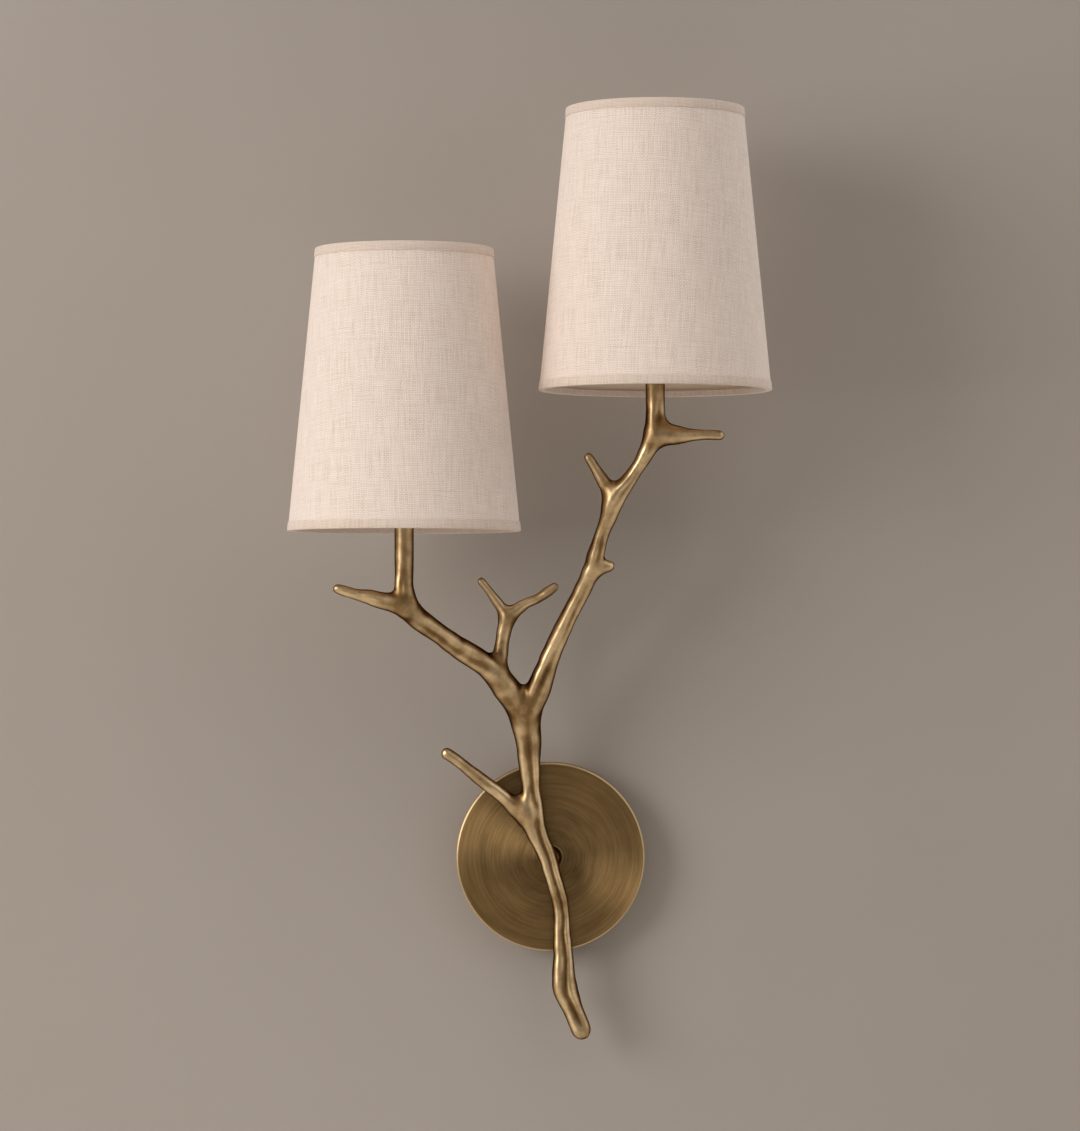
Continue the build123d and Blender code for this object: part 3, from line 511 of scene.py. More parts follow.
def cut_stem_ends(field, low):
    """Cuts each stem flat where its lampholder stands on it."""
    shape = field.shape
    x, _, z = (low[k] + VOXEL * np.arange(shape[k]) for k in range(3))
    for side in SIDES:
        top = stem_top(side)
        near_x, above = np.abs(x - FEET[side][0]) < STEM_REACH, z > top - STEM_CUT
        box = np.ix_(near_x, np.ones(shape[1], bool), above)
        field[box] = np.maximum(field[box], (z[above] - top)[None, None, :])


def worked_share(verts):
    """1 where the casting is hand worked, 0 on the boss and up the straight stems."""
    from_boss = np.hypot(verts[:, 0], verts[:, 2]) - STEM_R
    share = np.clip(np.maximum((BOSS_BACK - 3.0 - verts[:, 1]) / 4.0, from_boss / 3.0), 0.0, 1.0)
    for side in SIDES:
        foot = FEET[side]
        beside = np.abs(verts[:, 0] - foot[0]) < STEM_SIDE
        below = np.clip((foot[2] + STEM_PLAIN - verts[:, 2]) / STEM_FADE, 0.0, 1.0)
        share = np.where(beside, share * below, share)
    return share


def hollows(verts, quads, normals):
    """How far each place lies below its smoothed surroundings, in millimetres."""
    near = smooth_verts(verts, quads, FINE_ROUNDS, SMOOTH_SHARE)
    broad = smooth_verts(near, quads, BROAD_ROUNDS, SMOOTH_SHARE)
    return (((near - verts) * 0.9 + (broad - near)) * normals).sum(axis=1)


def soften_seams(verts, quads, spare):
    """Rounds off the crease where one limb runs into another."""
    share = np.clip(1.0 - spare / SEAM_WIDTH, 0.0, 1.0)[:, None]
    for _ in range(SEAM_ROUNDS):
        verts = verts + (smooth_verts(verts, quads, 1, 0.5) - verts) * share
    return verts


def make_branch():
    """The whole cast branch with its stems: limbs blended into each other at every crotch."""
    lines, alongs = zip(*(limb_line(rows) for rows, _ in LIMBS))
    field, low = branch_field(lines, [blend for _, blend in LIMBS])
    add_boss(field, low)
    cut_stem_ends(field, low)
    verts, quads = surface_net(field, low, VOXEL)
    verts = smooth_verts(verts, quads, 2, 0.5)
    place = limb_place(verts, lines, alongs)
    verts = soften_seams(verts, quads, place[-1])
    normals = vertex_normals(verts, quads)
    worked = carve(verts, normals, place)
    verts += (worked - verts) * worked_share(verts)[:, None]
    verts = smooth_verts(verts, quads, 2, 0.3)
    piece = add_mesh("cast_branch", verts * MM, quads)
    limb, along, turn, radius, spare = place
    grain = np.stack([along, np.cos(turn) * radius, np.sin(turn) * radius], axis=1) * MM
    set_attribute(piece, "grain", grain, "FLOAT_VECTOR")
    set_attribute(piece, "grain_clear", np.clip(spare / 4.0, 0.0, 1.0))
    normals = vertex_normals(verts, quads)
    faded = np.clip(0.15 + spare / 11.0, 0.0, 1.0)
    below = np.minimum(hollows(verts, quads, normals) + LIMB_TONE_SHIFT[limb], HOLLOW_MOST)
    set_attribute(piece, "hollow", SEAM_HOLLOW + (below - SEAM_HOLLOW) * faded)
    # How far each place faces forwards; the brass finish paints places that face away darker, as
    # painted shade.
    set_attribute(piece, "front", -smooth_verts(normals, quads, 3, 0.5)[:, 1])
    ways = np.zeros_like(verts)
    for i, line in enumerate(lines):
        own = limb == i
        way = np.gradient(line[:, :3], axis=0)
        spot = np.searchsorted(alongs[i], along[own]).clip(0, len(line) - 1)
        ways[own] = unit(way[spot])
    ways = smooth_verts(ways, quads, 12, SMOOTH_SHARE)
    set_attribute(piece, "limb_way", ways, "FLOAT_VECTOR")
    return piece


# ---- the shades ----
SEAM_TURN = {"left": radians(104.0), "right": radians(62.0)}  # round from +X, at the back
OVERLAP = 9.0               # the linen laps over itself by this much, in millimetres
TAPE_OVERLAP = OVERLAP * 1.4
LAP_RISE = 0.35             # how far the upper layer stands out
LAP_EDGE = 0.5              # it drops over this much
SEGMENTS = 240
SHARP_TURN = radians(40.0)  # faces that meet at more than this keep a sharp edge
SHADE_SLANT = sqrt(SHADE_HEIGHT**2 + (SHADE_BOTTOM_R - SHADE_TOP_R) ** 2)
CONE_SINE = (SHADE_BOTTOM_R - SHADE_TOP_R) / SHADE_SLANT


def shade_radius(z, depth=0.0):
    """Radius of the shade's outside at a height above its bottom edge, less a depth."""
    return SHADE_BOTTOM_R + (SHADE_TOP_R - SHADE_BOTTOM_R) * z / SHADE_HEIGHT - depth


def shade_place(side):
    """The middle of a shade's bottom edge, in millimetres."""
    low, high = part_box(f"{side}_bottom_trim")
    return np.array([(low.x + high.x) / 2, (low.y + high.y) / 2, low.z]) / MM


def lap(turn, width):
    """How far the upper layer stands out at a turn from the seam."""
    return LAP_RISE * np.clip((width - turn * SHADE_BOTTOM_R) / LAP_EDGE, 0.0, 1.0)


def flat_place(turn, z):
    """Where a place on the cone lies in the cloth before it is rolled up."""
    slant = shade_radius(z) / CONE_SINE * MM
    swing = (turn - pi) * CONE_SINE
    return slant * sin(swing), slant * cos(swing)


def cloth_rises(section, folded):
    """Each point's height in the flat cloth, and the first's again; a folded cloth runs round its
    section."""
    heights = np.array([z for _, z in section] + [section[0][1]])
    if not folded:
        return heights
    points = np.array(section + section[:1])
    steps = np.linalg.norm(np.diff(points, axis=0), axis=1)
    return np.concatenate([[0.0], np.cumsum(steps)])


def rolled_piece(name, side, outline, lap_width, folded=False):
    """A closed band round a shade. outline(lift) gives its section as (radius, height) pairs."""
    place = shade_place(side)
    edge = lap_width / SHADE_BOTTOM_R
    plain = np.linspace(edge + 0.01, tau, SEGMENTS)[:-1]
    turns = np.concatenate([np.linspace(0.0, edge, 6), [edge + 0.004], plain])
    verts = []
    sections = [outline(lap(t, lap_width)) for t in turns]
    for t, section in zip(turns, sections):
        x, y = cos(t + SEAM_TURN[side]), sin(t + SEAM_TURN[side])
        verts += [(place[0] + r * x, place[1] + r * y, place[2] + z) for r, z in section]
    count = len(sections[0])
    rises = [cloth_rises(section, folded) for section in sections]
    faces = []
    flat = []
    for i in range(len(turns)):
        j = (i + 1) % len(turns)
        end_turn = turns[j] if j else tau
        for k in range(count):
            m = (k + 1) % count
            faces.append((i * count + k, j * count + k, j * count + m, i * count + m))
            flat += [flat_place(turns[i], rises[i][k]), flat_place(end_turn, rises[j][k]),
                     flat_place(end_turn, rises[j][k + 1]), flat_place(turns[i], rises[i][k + 1])]
    piece = add_mesh(name, np.array(verts) * MM, faces)
    layer = piece.data.uv_layers.new(name="cloth")
    layer.data.foreach_set("uv", np.array(flat, dtype=np.float32).ravel())
    piece.data.set_sharp_from_angle(angle=SHARP_TURN)
    return piece


def cover_outline(lift):
    """The section of the linen cover, which lies under the tapes at both edges."""
    low, high = TAPE_T, SHADE_HEIGHT - TAPE_T
    rows = np.linspace(low, high, 13)
    outside = [(shade_radius(z, TAPE_T) + lift * 0.9, z) for z in rows]
    inside = [(shade_radius(z, TAPE_T + COVER_T), z) for z in rows[::-6]]
    return outside + inside


def tape_outline(bottom):
    """The section of a folded tape: outer leg, rounded fold and inner leg."""
    edge, up = (0.0, 1.0) if bottom else (SHADE_HEIGHT, -1.0)
    inner = TAPE_T + WALL_T + FRAME_WIRE_D + WIRE_PLAY * 2
    inside = inner + TAPE_T
    rows = [                # from the fold, from the shade's outside, and share of the lift
        (TAPE_WIDTH, TAPE_T, 1), (TAPE_WIDTH, 0.12, 1), (TAPE_WIDTH - 0.25, 0.0, 1), (3.0, 0.0, 1),
        (0.5, 0.0, 1), (0.12, 0.25, 1), (0.0, 0.6, 1),
        (0.0, inner - 0.2, 0), (0.12, inside - 0.15, 0), (0.5, inside, -1),
        (HEM_WIDTH, inside, -1), (HEM_WIDTH, inner, -1), (TAPE_T, inner, 0), (TAPE_T, TAPE_T, 0),
    ]

    def outline(lift):
        points = [(shade_radius(edge + up * rise, depth) + lift * share, edge + up * rise)
                  for rise, depth, share in rows]
        return points if bottom else points[::-1]

    return outline


def make_shade(side):
    """A shade's linen cover and its two folded tapes, each with its material slot."""
    cover = rolled_piece(f"{side}_linen_cover", side, cover_outline, OVERLAP)
    top = rolled_piece(f"{side}_top_tape", side, tape_outline(False), TAPE_OVERLAP, folded=True)
    bottom = rolled_piece(f"{side}_bottom_tape", side, tape_outline(True), TAPE_OVERLAP, folded=True)
    pieces = [(cover, "linen"), (top, "linen_tape"), (bottom, "linen_tape")]
    for (piece, slot), node in zip(pieces, ("shade_cover", "top_trim", "bottom_trim")):
        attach(piece, f"{side}_shade")
        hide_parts(f"{side}_{node}")
    return pieces


# ---- material nodes ----
def new_material(name):
    material = bpy.data.materials.new(name)
    material.use_nodes = True
    tree = material.node_tree
    return material, tree, tree.nodes["Principled BSDF"]


def put(tree, socket, value):
    """Links a node's output to a socket, or sets the socket to a plain value."""
    if isinstance(value, bpy.types.NodeSocket):
        tree.links.new(value, socket)
    elif socket.type == "RGBA" and len(value) == 3:
        socket.default_value = (*value, 1.0)
    else:
        socket.default_value = value


def put_all(tree, node, values):
    """Puts a value into each of a node's inputs that values names."""
    for name, value in values.items():
        put(tree, node.inputs[name], value)


def add_node(tree, kind, values=(), **settings):
    """A new shader node with some settings, and values put into its first inputs."""
    made = tree.nodes.new("ShaderNode" + kind)
    for name, setting in settings.items():
        setattr(made, name, setting)
    for socket, value in zip(made.inputs, values):
        put(tree, socket, value)
    return made


def calc(tree, operation, a, b=0.0):
    return add_node(tree, "Math", (a, b), operation=operation).outputs[0]


def times(tree, a, b):
    return calc(tree, "MULTIPLY", a, b)


def weighed(tree, *terms):
    """The sum of some values, each times its weight; terms are (value, weight) pairs."""
    parts = [times(tree, value, weight) for value, weight in terms]
    total = parts[0]
    for part in parts[1:]:
        total = calc(tree, "ADD", total, part)
    return total


def split(tree, vector):
    return add_node(tree, "SeparateXYZ", (vector,)).outputs


def join(tree, x, y, z=0.0):
    return add_node(tree, "CombineXYZ", (x, y, z)).outputs[0]


def stretched(tree, values, scales):
    """A place made of two or three values, each times its own scale."""
    return join(tree, *(times(tree, v, scale) for v, scale in zip(values, scales)))


def attribute(tree, name, output="Fac"):
    return add_node(tree, "Attribute", attribute_name=name).outputs[output]


def object_place(tree):
    return add_node(tree, "TexCoord").outputs["Object"]


def noise(tree, where, scale, detail=2.0, roughness=0.5):
    """Smooth noise from 0 to 1; where is in metres, so scale counts features in a metre."""
    made = add_node(tree, "TexNoise")
    put_all(tree, made, {"Vector": where, "Scale": scale, "Detail": detail, "Roughness": roughness})
    return made.outputs["Fac"]


def ramp(tree, share, *stops):
    """A colour for each value of share; stops are (value, colour) pairs."""
    made = add_node(tree, "ValToRGB", (share,))
    scale = made.color_ramp.elements
    scale[0].position, scale[0].color = stops[0][0], (*stops[0][1], 1.0)
    scale[1].position, scale[1].color = stops[-1][0], (*stops[-1][1], 1.0)
    for value, colour in stops[1:-1]:
        scale.new(value).color = (*colour, 1.0)
    return made.outputs["Color"]


def spread(tree, share, low, high, out_low=0.0, out_high=1.0):
    """Maps low..high to out_low..out_high, held at both ends."""
    return add_node(tree, "MapRange", (share, low, high, out_low, out_high)).outputs[0]


MIX_A, MIX_B, MIX_RESULT = 6, 7, 2  # a Mix node's colour sockets


def tint(tree, share, a, b, kind="MIX"):
    made = add_node(tree, "Mix", (share,), data_type="RGBA", blend_type=kind)
    put(tree, made.inputs[MIX_A], a)
    put(tree, made.inputs[MIX_B], b)
    return made.outputs[MIX_RESULT]


def bump(tree, height, distance, normal=None):
    """Raises the surface by height times distance, which is in metres."""
    made = add_node(tree, "Bump")
    put_all(tree, made, {"Distance": distance, "Height": height})
    if normal is not None:
        put(tree, made.inputs["Normal"], normal)
    return made.outputs["Normal"]


def colour(red, green, blue):
    """A colour written as 0 to 255, as it looks on a screen."""
    return tuple(((v / 255 + 0.055) / 1.055) ** 2.4 if v > 10 else v / 255 / 12.92
                 for v in (red, green, blue))


# ---- brass ----
PATINA = colour(28, 17, 8)
BRASS_DEEP = colour(88, 63, 37)
BRASS_MID = colour(138, 108, 70)
BRASS_WORN = colour(220, 191, 147)
NOISE_MOST = (0.3, 0.7)     # noise keeps between these nearly everywhere

STROKES = (1500.0, 90.0, 90.0)  # the brushing: features in a metre along and across a limb
STROKE_SHADES = (0.93, 1.05)
STROKE_RELIEF = 0.03 * MM
CASTING_RELIEF = 0.14 * MM
CLOUDS = (54.0, 3.0, 0.55)  # scale, detail and roughness of the noise
HOLLOW_RANGE = (-0.46, 0.46)  # millimetres, for a depth of 0 to 1
SIDE_SHADE_RANGE = (0.60, 0.14)  # how far a place faces forwards, for a painted shade of 0 to 1 on the sides and back
TONE_START = 0.12
CAST_TONES = (              # from the worn ridges to the brown hollows, and to the sides and back darkened as painted shade
    (0.18, BRASS_WORN), (0.46, BRASS_MID), (0.78, BRASS_DEEP), (1.06, PATINA),
)
CAST_EDGE_TINT = (0.22, 0.14, 0.08, 1.0)


def cast_brass():
    """Hand-finished casting: worn bright on its ridges, brown in its hollows, brushed across the
    limbs, and painted darker on its sides and back as painted shade.
    """
    material, tree, shader = new_material("cast_brass_rubbed")
    place = object_place(tree)
    clear = attribute(tree, "grain_clear")
    grain = split(tree, attribute(tree, "grain", "Vector"))
    strokes = noise(tree, stretched(tree, grain, STROKES), 1.0, 3.0, 0.6)
    cloudy = spread(tree, noise(tree, place, *CLOUDS), 0.28, 0.72)
    fine = noise(tree, place, 420.0, 2.0)
    depth = spread(tree, attribute(tree, "hollow"), *HOLLOW_RANGE)
    # Painted shade: places that face sideways or backwards are darkened.
    side_shade = spread(tree, attribute(tree, "front"), *SIDE_SHADE_RANGE)
    crotch = calc(tree, "SUBTRACT", 1.0, clear)
    tone = weighed(tree, (depth, 0.66), (cloudy, 0.32), (side_shade, 0.46), (crotch, 0.05))
    base = ramp(tree, calc(tree, "ADD", tone, TONE_START), *CAST_TONES)
    shade = spread(tree, strokes, *NOISE_MOST, *STROKE_SHADES)
    base = tint(tree, 1.0, base, join(tree, shade, shade, shade), "MULTIPLY")
    rough = calc(tree, "ADD", spread(tree, cloudy, *NOISE_MOST, 0.33, 0.43),
                 spread(tree, fine, *NOISE_MOST, -0.02, 0.03))
    normal = bump(tree, times(tree, strokes, clear), STROKE_RELIEF)
    normal = bump(tree, noise(tree, place, 160.0, 3.0, 0.6), CASTING_RELIEF, normal)
    put_all(tree, shader, {
        "Base Color": base, "Metallic": 1.0, "Roughness": rough, "Specular Tint": CAST_EDGE_TINT,
        "Anisotropic": 0.3, "Tangent": attribute(tree, "limb_way", "Vector"), "Normal": normal,
    })
    return material


RIM_WEAR_AND_HIGHLIGHT = 1.3 * MM         # width of a front edge painted bright, as wear and as a painted highlight
RING_AROUND = 1.6           # how much the fine rings change round the axis
WIDE_AROUND = 1.1
WIDE_SHARE = 0.16           # wide rings to fine rings, in a metre
RING_RELIEF = 0.04 * MM


def turned_brass(name, axis, ring_scale, low=BRASS_DEEP, high=BRASS_MID, roughness=0.34,
                 anisotropic=0.6, rim_wear_and_highlight=None, rim_tone=BRASS_WORN):
    """Brass turned on a lathe: fine rings round an axis, uneven from ring to ring.

    A rim, if given, is the radius and the Y place, in metres, of a front edge painted bright round
    Y: partly wear, partly a painted highlight where the rounded edge catches the light.
    """
    material, tree, shader = new_material(name)
    place = object_place(tree)
    x, y, z = split(tree, place)
    if axis == "Y":
        away = calc(tree, "SQRT", weighed(tree, (x, x), (z, z)))
        out = join(tree, x, 0.0, z)
        flat = add_node(tree, "VectorMath", (out,), operation="NORMALIZE").outputs[0]
        level = calc(tree, "ADD", away, y)
    else:
        flat = join(tree, 0.0, 0.0)
        level = z
    flat_x, _, flat_z = split(tree, flat)
    around = (level, flat_x, flat_z)
    ring_place = stretched(tree, around, (ring_scale, RING_AROUND, RING_AROUND))
    rings = noise(tree, ring_place, 1.0, 4.0, 0.62)
    wide_place = stretched(tree, around, (ring_scale * WIDE_SHARE, WIDE_AROUND, WIDE_AROUND))
    wide = noise(tree, wide_place, 1.0, 3.0, 0.55)
    cloudy = noise(tree, place, 38.0, 3.0, 0.5)
    tone = weighed(tree, (rings, 0.45), (wide, 0.35), (cloudy, 0.2))
    base = ramp(tree, tone, (0.30, low), (0.70, high))
    if rim_wear_and_highlight:
        rim, front = rim_wear_and_highlight
        # Wear and painted highlight: the rim's front edge is painted in the rim tone.
        worn_and_lit = times(tree, spread(tree, away, rim - RIM_WEAR_AND_HIGHLIGHT, rim - RIM_WEAR_AND_HIGHLIGHT * 0.5),
                       spread(tree, y, front + RIM_WEAR_AND_HIGHLIGHT * 2.4, front + RIM_WEAR_AND_HIGHLIGHT * 1.6))
        base = tint(tree, worn_and_lit, base, rim_tone)
    way = add_node(tree, "Tangent", direction_type="RADIAL", axis=axis)
    put_all(tree, shader, {
        "Base Color": base, "Metallic": 1.0,
        "Roughness": spread(tree, wide, *NOISE_MOST, roughness - 0.04, roughness + 0.05),
        "Anisotropic": anisotropic, "Anisotropic Rotation": 0.25, "Tangent": way.outputs[0],
        "Normal": bump(tree, rings, RING_RELIEF),
    })
    return material


# ---- cloth ----
THREAD = 1.15 * MM          # from one thread to the next
LINEN_PALE = colour(240, 224, 212)
LINEN_MID = colour(224, 205, 191)
LINEN_DARK = colour(180, 154, 137)
THREAD_DRIFT = 1.6          # threads wander by this share of their spacing
SLUB = (0.05, 0.9)          # a slub's features to a thread, along and across it
WEFT_LAYER = 7.0            # a place in the noise that the warp doesn't use
# Painted light and shade on the threads: the warp is painted darker and the weft paler, as if lit
# from one side.
WARP_DARKER = 0.10
WEFT_PALER = 0.06
WEAVE_RELIEF = 0.22 * MM


def linen(name, thread, pale, mid, dark):
    """Plain weave with uneven threads, each a little lighter or darker than the next; the warp is
    painted darker and the weft paler as painted shade and light, and the gaps between threads are
    painted darker as painted shade.
    """
    material, tree, shader = new_material(name)
    flat = add_node(tree, "UVMap", uv_map="cloth").outputs[0]
    wander = noise(tree, flat, 90.0, 2.0)
    across, along, _ = split(tree, flat)
    drift_by = times(tree, calc(tree, "SUBTRACT", wander, 0.5), thread * THREAD_DRIFT)
    u = calc(tree, "DIVIDE", calc(tree, "ADD", across, drift_by), thread)
    v = calc(tree, "DIVIDE", calc(tree, "SUBTRACT", along, drift_by), thread)
    wave_u = calc(tree, "SINE", times(tree, u, pi))
    wave_v = calc(tree, "SINE", times(tree, v, pi))
    over = times(tree, wave_u, wave_v)
    ridge_u = calc(tree, "ABSOLUTE", wave_u)
    ridge_v = calc(tree, "ABSOLUTE", wave_v)
    warp = times(tree, calc(tree, "ADD", ridge_u, over), 0.5)
    weft = times(tree, calc(tree, "SUBTRACT", ridge_v, over), 0.5)
    height = calc(tree, "MAXIMUM", warp, weft)
    which = calc(tree, "GREATER_THAN", warp, weft)
    warp_place = stretched(tree, (u, v), SLUB[::-1])
    weft_u, weft_v = (times(tree, value, scale) for value, scale in zip((u, v), SLUB))
    warp_slub = noise(tree, warp_place, 1.0, 2.0, 0.6)
    weft_slub = noise(tree, join(tree, weft_u, weft_v, WEFT_LAYER), 1.0, 2.0, 0.6)
    warp_tone = calc(tree, "SUBTRACT", warp_slub, WARP_DARKER)
    weft_tone = calc(tree, "ADD", weft_slub, WEFT_PALER)
    difference = calc(tree, "SUBTRACT", warp_tone, weft_tone)
    tone = calc(tree, "ADD", weft_tone, times(tree, difference, which))
    # Painted shade: the low places between the threads are darker.
    tone = weighed(tree, (tone, 0.66), (height, 0.34))
    put_all(tree, shader, {
        "Base Color": ramp(tree, tone, (0.20, dark), (0.42, mid), (0.66, pale)), "Roughness": 0.9,
        "Specular IOR Level": 0.2, "Sheen Weight": 0.15, "Sheen Roughness": 0.5,
        "Normal": bump(tree, height, WEAVE_RELIEF),
    })
    return material


# ---- the rest ----
WIDE_NOISE = (36.0, 3.0)    # scale and detail
FINE_NOISE = (480.0, 2.0)
FINE_RELIEF = 0.03 * MM


def plain_finish(name, low, high, metallic, roughness):
    """A finish whose tone and gloss wander a little over the surface."""
    material, tree, shader = new_material(name)
    place = object_place(tree)
    wide = noise(tree, place, *WIDE_NOISE)
    fine = noise(tree, place, *FINE_NOISE)
    tone = weighed(tree, (wide, 0.7), (fine, 0.3))
    put_all(tree, shader, {
        "Base Color": ramp(tree, tone, (0.3, colour(*low)), (0.7, colour(*high))),
        "Metallic": metallic,
        "Roughness": spread(tree, wide, *NOISE_MOST, roughness - 0.05, roughness + 0.05),
        "Normal": bump(tree, fine, FINE_RELIEF),
    })
    return material


def lamp_glass():
    """Clear glass, with a faint unevenness in its tint and gloss."""
    material, tree, shader = new_material("lamp_glass_clear")
    faint = noise(tree, object_place(tree), 60.0, 2.0)
    put_all(tree, shader, {
        "Base Color": ramp(tree, faint, (0.3, (0.94, 0.96, 0.96)), (0.7, (1.0, 1.0, 1.0))),
        "Transmission Weight": 1.0, "IOR": 1.45,
        "Roughness": spread(tree, faint, *NOISE_MOST, 0.0, 0.03),
    })
    return material


def front_rim(node):
    """The radius of a round node on the wall plate's axis, and its front's place along Y."""
    low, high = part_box(node)
    return high.x, low.y


FINISHES = {                # by material slot
    "cast_brass": cast_brass(),
    "brushed_brass": turned_brass("brushed_plate", "Y", 900.0, colour(102, 78, 47),
                                  colour(166, 134, 89), roughness=0.46, anisotropic=0.84,
                                  rim_wear_and_highlight=front_rim("canopy")),
    "turned_brass": turned_brass("turned_fittings", "Z", 2200.0, roughness=0.32),
    "linen": linen("natural_linen", THREAD, LINEN_PALE, LINEN_MID, LINEN_DARK),
    "linen_tape": linen("linen_tape_weave", THREAD * 0.8, colour(230, 212, 198),
                        colour(214, 193, 177), colour(168, 141, 122)),
    "lamp_glass": lamp_glass(),
}
for slot, *look in (        # name, darker and paler tone, metallic, and roughness
    ("raw_brass", "raw_brass_finish", (196, 158, 96), (222, 188, 124), 1.0, 0.28),
    ("zinc_steel", "zinc_finish", (150, 150, 150), (190, 191, 188), 1.0, 0.4),
    ("dark_steel", "bronzed_steel", (52, 40, 28), (84, 66, 46), 1.0, 0.38),
    ("green_screw", "green_steel", (20, 96, 44), (34, 128, 62), 0.6, 0.35),
    ("black_plastic", "black_moulding", (22, 22, 23), (34, 34, 35), 0.0, 0.45),
    ("connector_plastic", "connector_moulding", (206, 104, 34), (226, 124, 46), 0.0, 0.4),
    ("lead_jacket", "lead_jacket_finish", (196, 170, 128), (222, 202, 164), 0.0, 0.3),
    ("block_insulator", "porcelain_block", (222, 217, 205), (240, 237, 228), 0.0, 0.5),
    # The lining's pale warm tone is partly its own colour and partly painted light, standing in for
    # light shining through the linen.
    ("shade_lining", "stiff_lining", (234, 214, 192), (243, 226, 206), 0.0, 0.6),
    ("frame_wire", "frame_wire_brass", (150, 118, 70), (184, 150, 98), 1.0, 0.35),
    ("cap_metal", "lamp_cap_nickel", (176, 172, 162), (206, 203, 196), 1.0, 0.3),
    ("filament_metal", "filament_grey", (120, 116, 112), (160, 156, 150), 1.0, 0.35),
):
    FINISHES[slot] = plain_finish(*look)
NODE_FINISHES = {           # nodes that differ from the rest of their slot
    # The collar is painted nearly black as painted shade for the groove round the boss, and its rim
    # lighter as a painted highlight.
    "standoff_collar": turned_brass("turned_collar", "Y", 2200.0, PATINA, colour(70, 48, 28),
                                    rim_wear_and_highlight=front_rim("standoff_collar"), rim_tone=BRASS_MID),
}


def finish_pieces(pieces):
    """Gives each new piece and each CAD node the finish of its material slot."""
    for piece, slot in pieces:
        piece.data.materials.clear()
        piece.data.materials.append(FINISHES[slot])
    for name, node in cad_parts.items():
        for holder in node.material_slots:
            holder.material = NODE_FINISHES.get(name) or FINISHES[holder.material.name]


# ---- stage, lamps and camera ----
WALL_TONES = ((0.3, colour(158, 148, 139)), (0.7, colour(164, 154, 145)))
FLOOR_TONES = ((0.3, colour(206, 201, 195)), (0.7, colour(212, 207, 201)))
# In metres, for the stage, the lamp and the camera.
STAGE_HALF = 1.8
WALL_Y = 0.0002             # just behind the wall plate
WALL_TOP = 1.6
FLOOR_Z = -0.75
FLOOR_DEPTH = 3.2
WARM_WHITE = (1.0, 0.985, 0.965)
WORLD_SEEN = 0.72           # the world's strength where the camera sees it
KEY_PLACE = (-2.2, -1.7, 0.73)
KEY_AIM = (0.0, -0.06, 0.2)
KEY_SIZE = 1.7
KEY_POWER = 44.0
CAMERA_PLACE = Vector((-7.1, -2859.0, 146.2)) * MM
CAMERA_PITCH = radians(91.02)  # from straight down
LENS_MM = 133.7
SENSOR_MM = 36.0


def stage_plane(name, corners, material):
    plane = add_mesh(name, np.array(corners), [(0, 1, 2, 3)], smooth=False)
    plane.data.materials.append(material)


def show_front(tree, shader, shown=1.0):
    """Shows a stage surface from its front only, times shown, and clear from behind."""
    behind = add_node(tree, "NewGeometry").outputs["Backfacing"]
    clear = add_node(tree, "BsdfTransparent").outputs[0]
    share = times(tree, calc(tree, "SUBTRACT", 1.0, behind), shown)
    choose = add_node(tree, "MixShader", (share, clear, shader.outputs[0]))
    put(tree, tree.nodes["Material Output"].inputs["Surface"], choose.outputs[0])


def wall_material():
    """A painted wall that shows to the camera, in reflections and through glass."""
    material, tree, shader = new_material("painted_wall")
    tone = ramp(tree, noise(tree, object_place(tree), 2.2, 3.0), *WALL_TONES)
    put_all(tree, shader, {"Base Color": tone, "Roughness": 0.85, "Specular IOR Level": 0.2})
    paths = add_node(tree, "LightPath").outputs
    seen = calc(tree, "MAXIMUM", paths["Is Glossy Ray"], paths["Is Transmission Ray"])
    show_front(tree, shader, calc(tree, "MAXIMUM", seen, paths["Is Camera Ray"]))
    return material


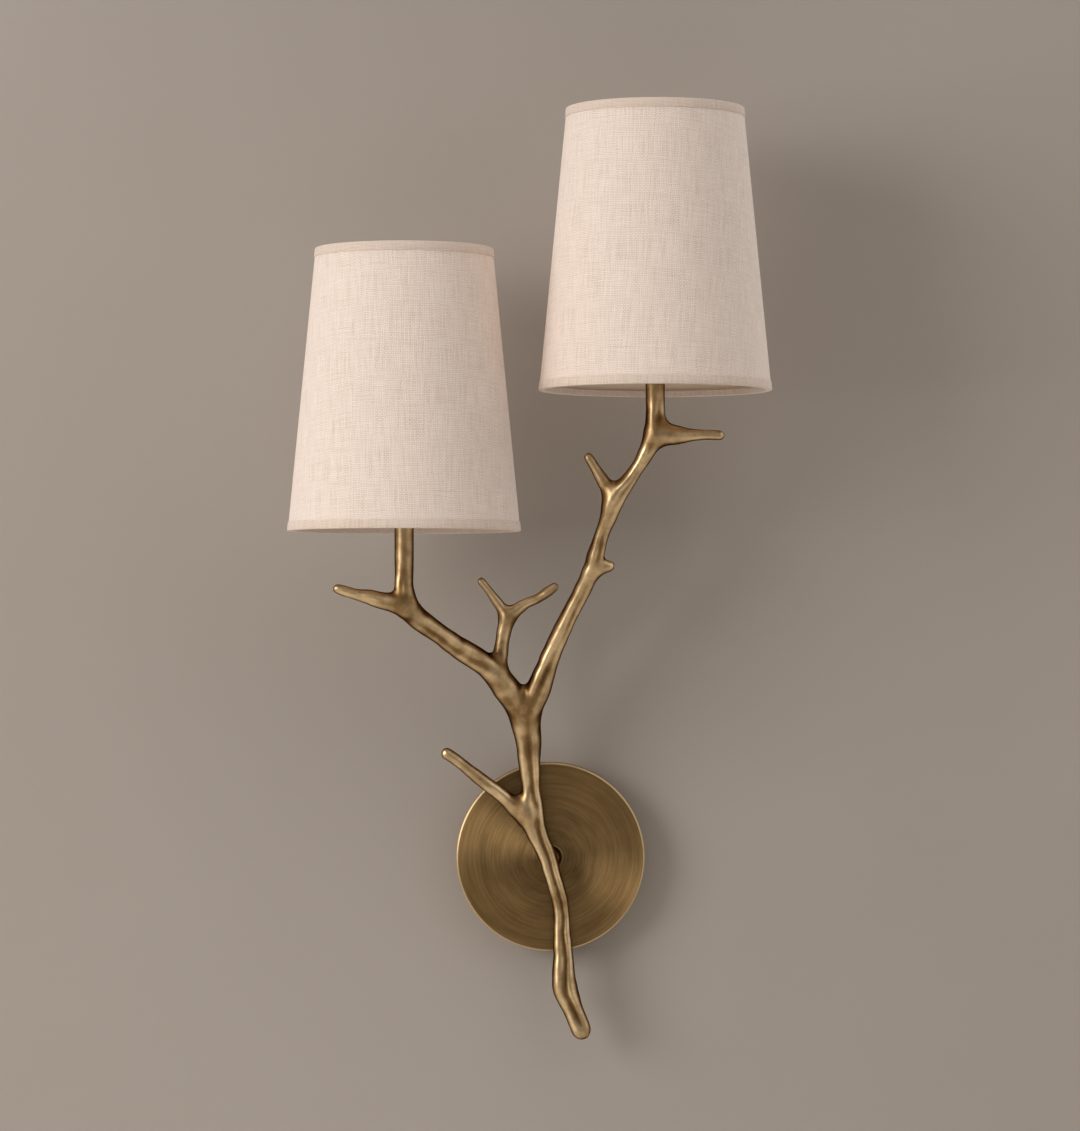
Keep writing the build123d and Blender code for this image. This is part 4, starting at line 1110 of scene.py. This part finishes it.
def make_stage():
    """The wall and the floor."""
    half, depth = STAGE_HALF, FLOOR_DEPTH
    stage_plane("wall", [(-half, WALL_Y, FLOOR_Z), (half, WALL_Y, FLOOR_Z),
                         (half, WALL_Y, WALL_TOP), (-half, WALL_Y, WALL_TOP)], wall_material())
    floor, tree, shader = new_material("pale_floor")
    tone = ramp(tree, noise(tree, object_place(tree), 3.0, 3.0), *FLOOR_TONES)
    put_all(tree, shader, {"Base Color": tone, "Roughness": 0.8})
    show_front(tree, shader)
    stage_plane("floor", [(-half, -depth, FLOOR_Z), (half, -depth, FLOOR_Z),
                          (half, depth, FLOOR_Z), (-half, depth, FLOOR_Z)], floor)


def make_key_lamp():
    """One large soft lamp, from the left, in front and above."""
    lamp = bpy.data.lights.new("key", "AREA")
    lamp.shape = "DISK"
    lamp.size = KEY_SIZE
    lamp.energy = KEY_POWER
    lamp.color = WARM_WHITE
    holder = bpy.data.objects.new("key", lamp)
    bpy.context.scene.collection.objects.link(holder)
    holder.location = KEY_PLACE
    towards = Vector(KEY_AIM) - Vector(KEY_PLACE)
    holder.rotation_euler = towards.to_track_quat("-Z", "Y").to_euler()
    holder.visible_camera = False


def make_world():
    """Soft light all round: stronger from above and from the right, weaker from the front."""
    world = bpy.data.worlds.new("studio")
    bpy.context.scene.world = world
    world.use_nodes = True
    tree = world.node_tree
    sky = tree.nodes["Background"]
    x, y, z = split(tree, add_node(tree, "TexCoord").outputs["Generated"])
    lit = times(tree, spread(tree, z, -0.7, 0.8, 0.46, 0.84),
                spread(tree, x, -0.8, 0.8, 0.90, 1.20))
    lit = times(tree, lit, spread(tree, y, -0.74, -0.96, 1.0, 0.28))
    seen = add_node(tree, "LightPath").outputs["Is Camera Ray"]
    change = times(tree, seen, calc(tree, "SUBTRACT", WORLD_SEEN, lit))
    put_all(tree, sky, {"Color": WARM_WHITE, "Strength": calc(tree, "ADD", lit, change)})


def make_camera():
    lens = bpy.data.cameras.new("photo_view")
    lens.sensor_fit = "VERTICAL"
    lens.sensor_height = SENSOR_MM
    lens.lens = LENS_MM
    camera = bpy.data.objects.new("photo_view", lens)
    bpy.context.scene.collection.objects.link(camera)
    camera.location = CAMERA_PLACE
    camera.rotation_euler = (CAMERA_PITCH, 0.0, 0.0)
    bpy.context.scene.camera = camera


# ---- scene ----
make_camera()
make_stage()
make_world()
make_key_lamp()
bpy.context.scene.view_settings.view_transform = "Standard"

branch = make_branch()
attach(branch, "fixture")
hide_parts("trunk_casting", "left_limb_casting", "right_limb_casting", "left_stem", "right_stem")
made = [(branch, "cast_brass")]
for side in SIDES:
    made += make_shade(side)
finish_pieces(made)
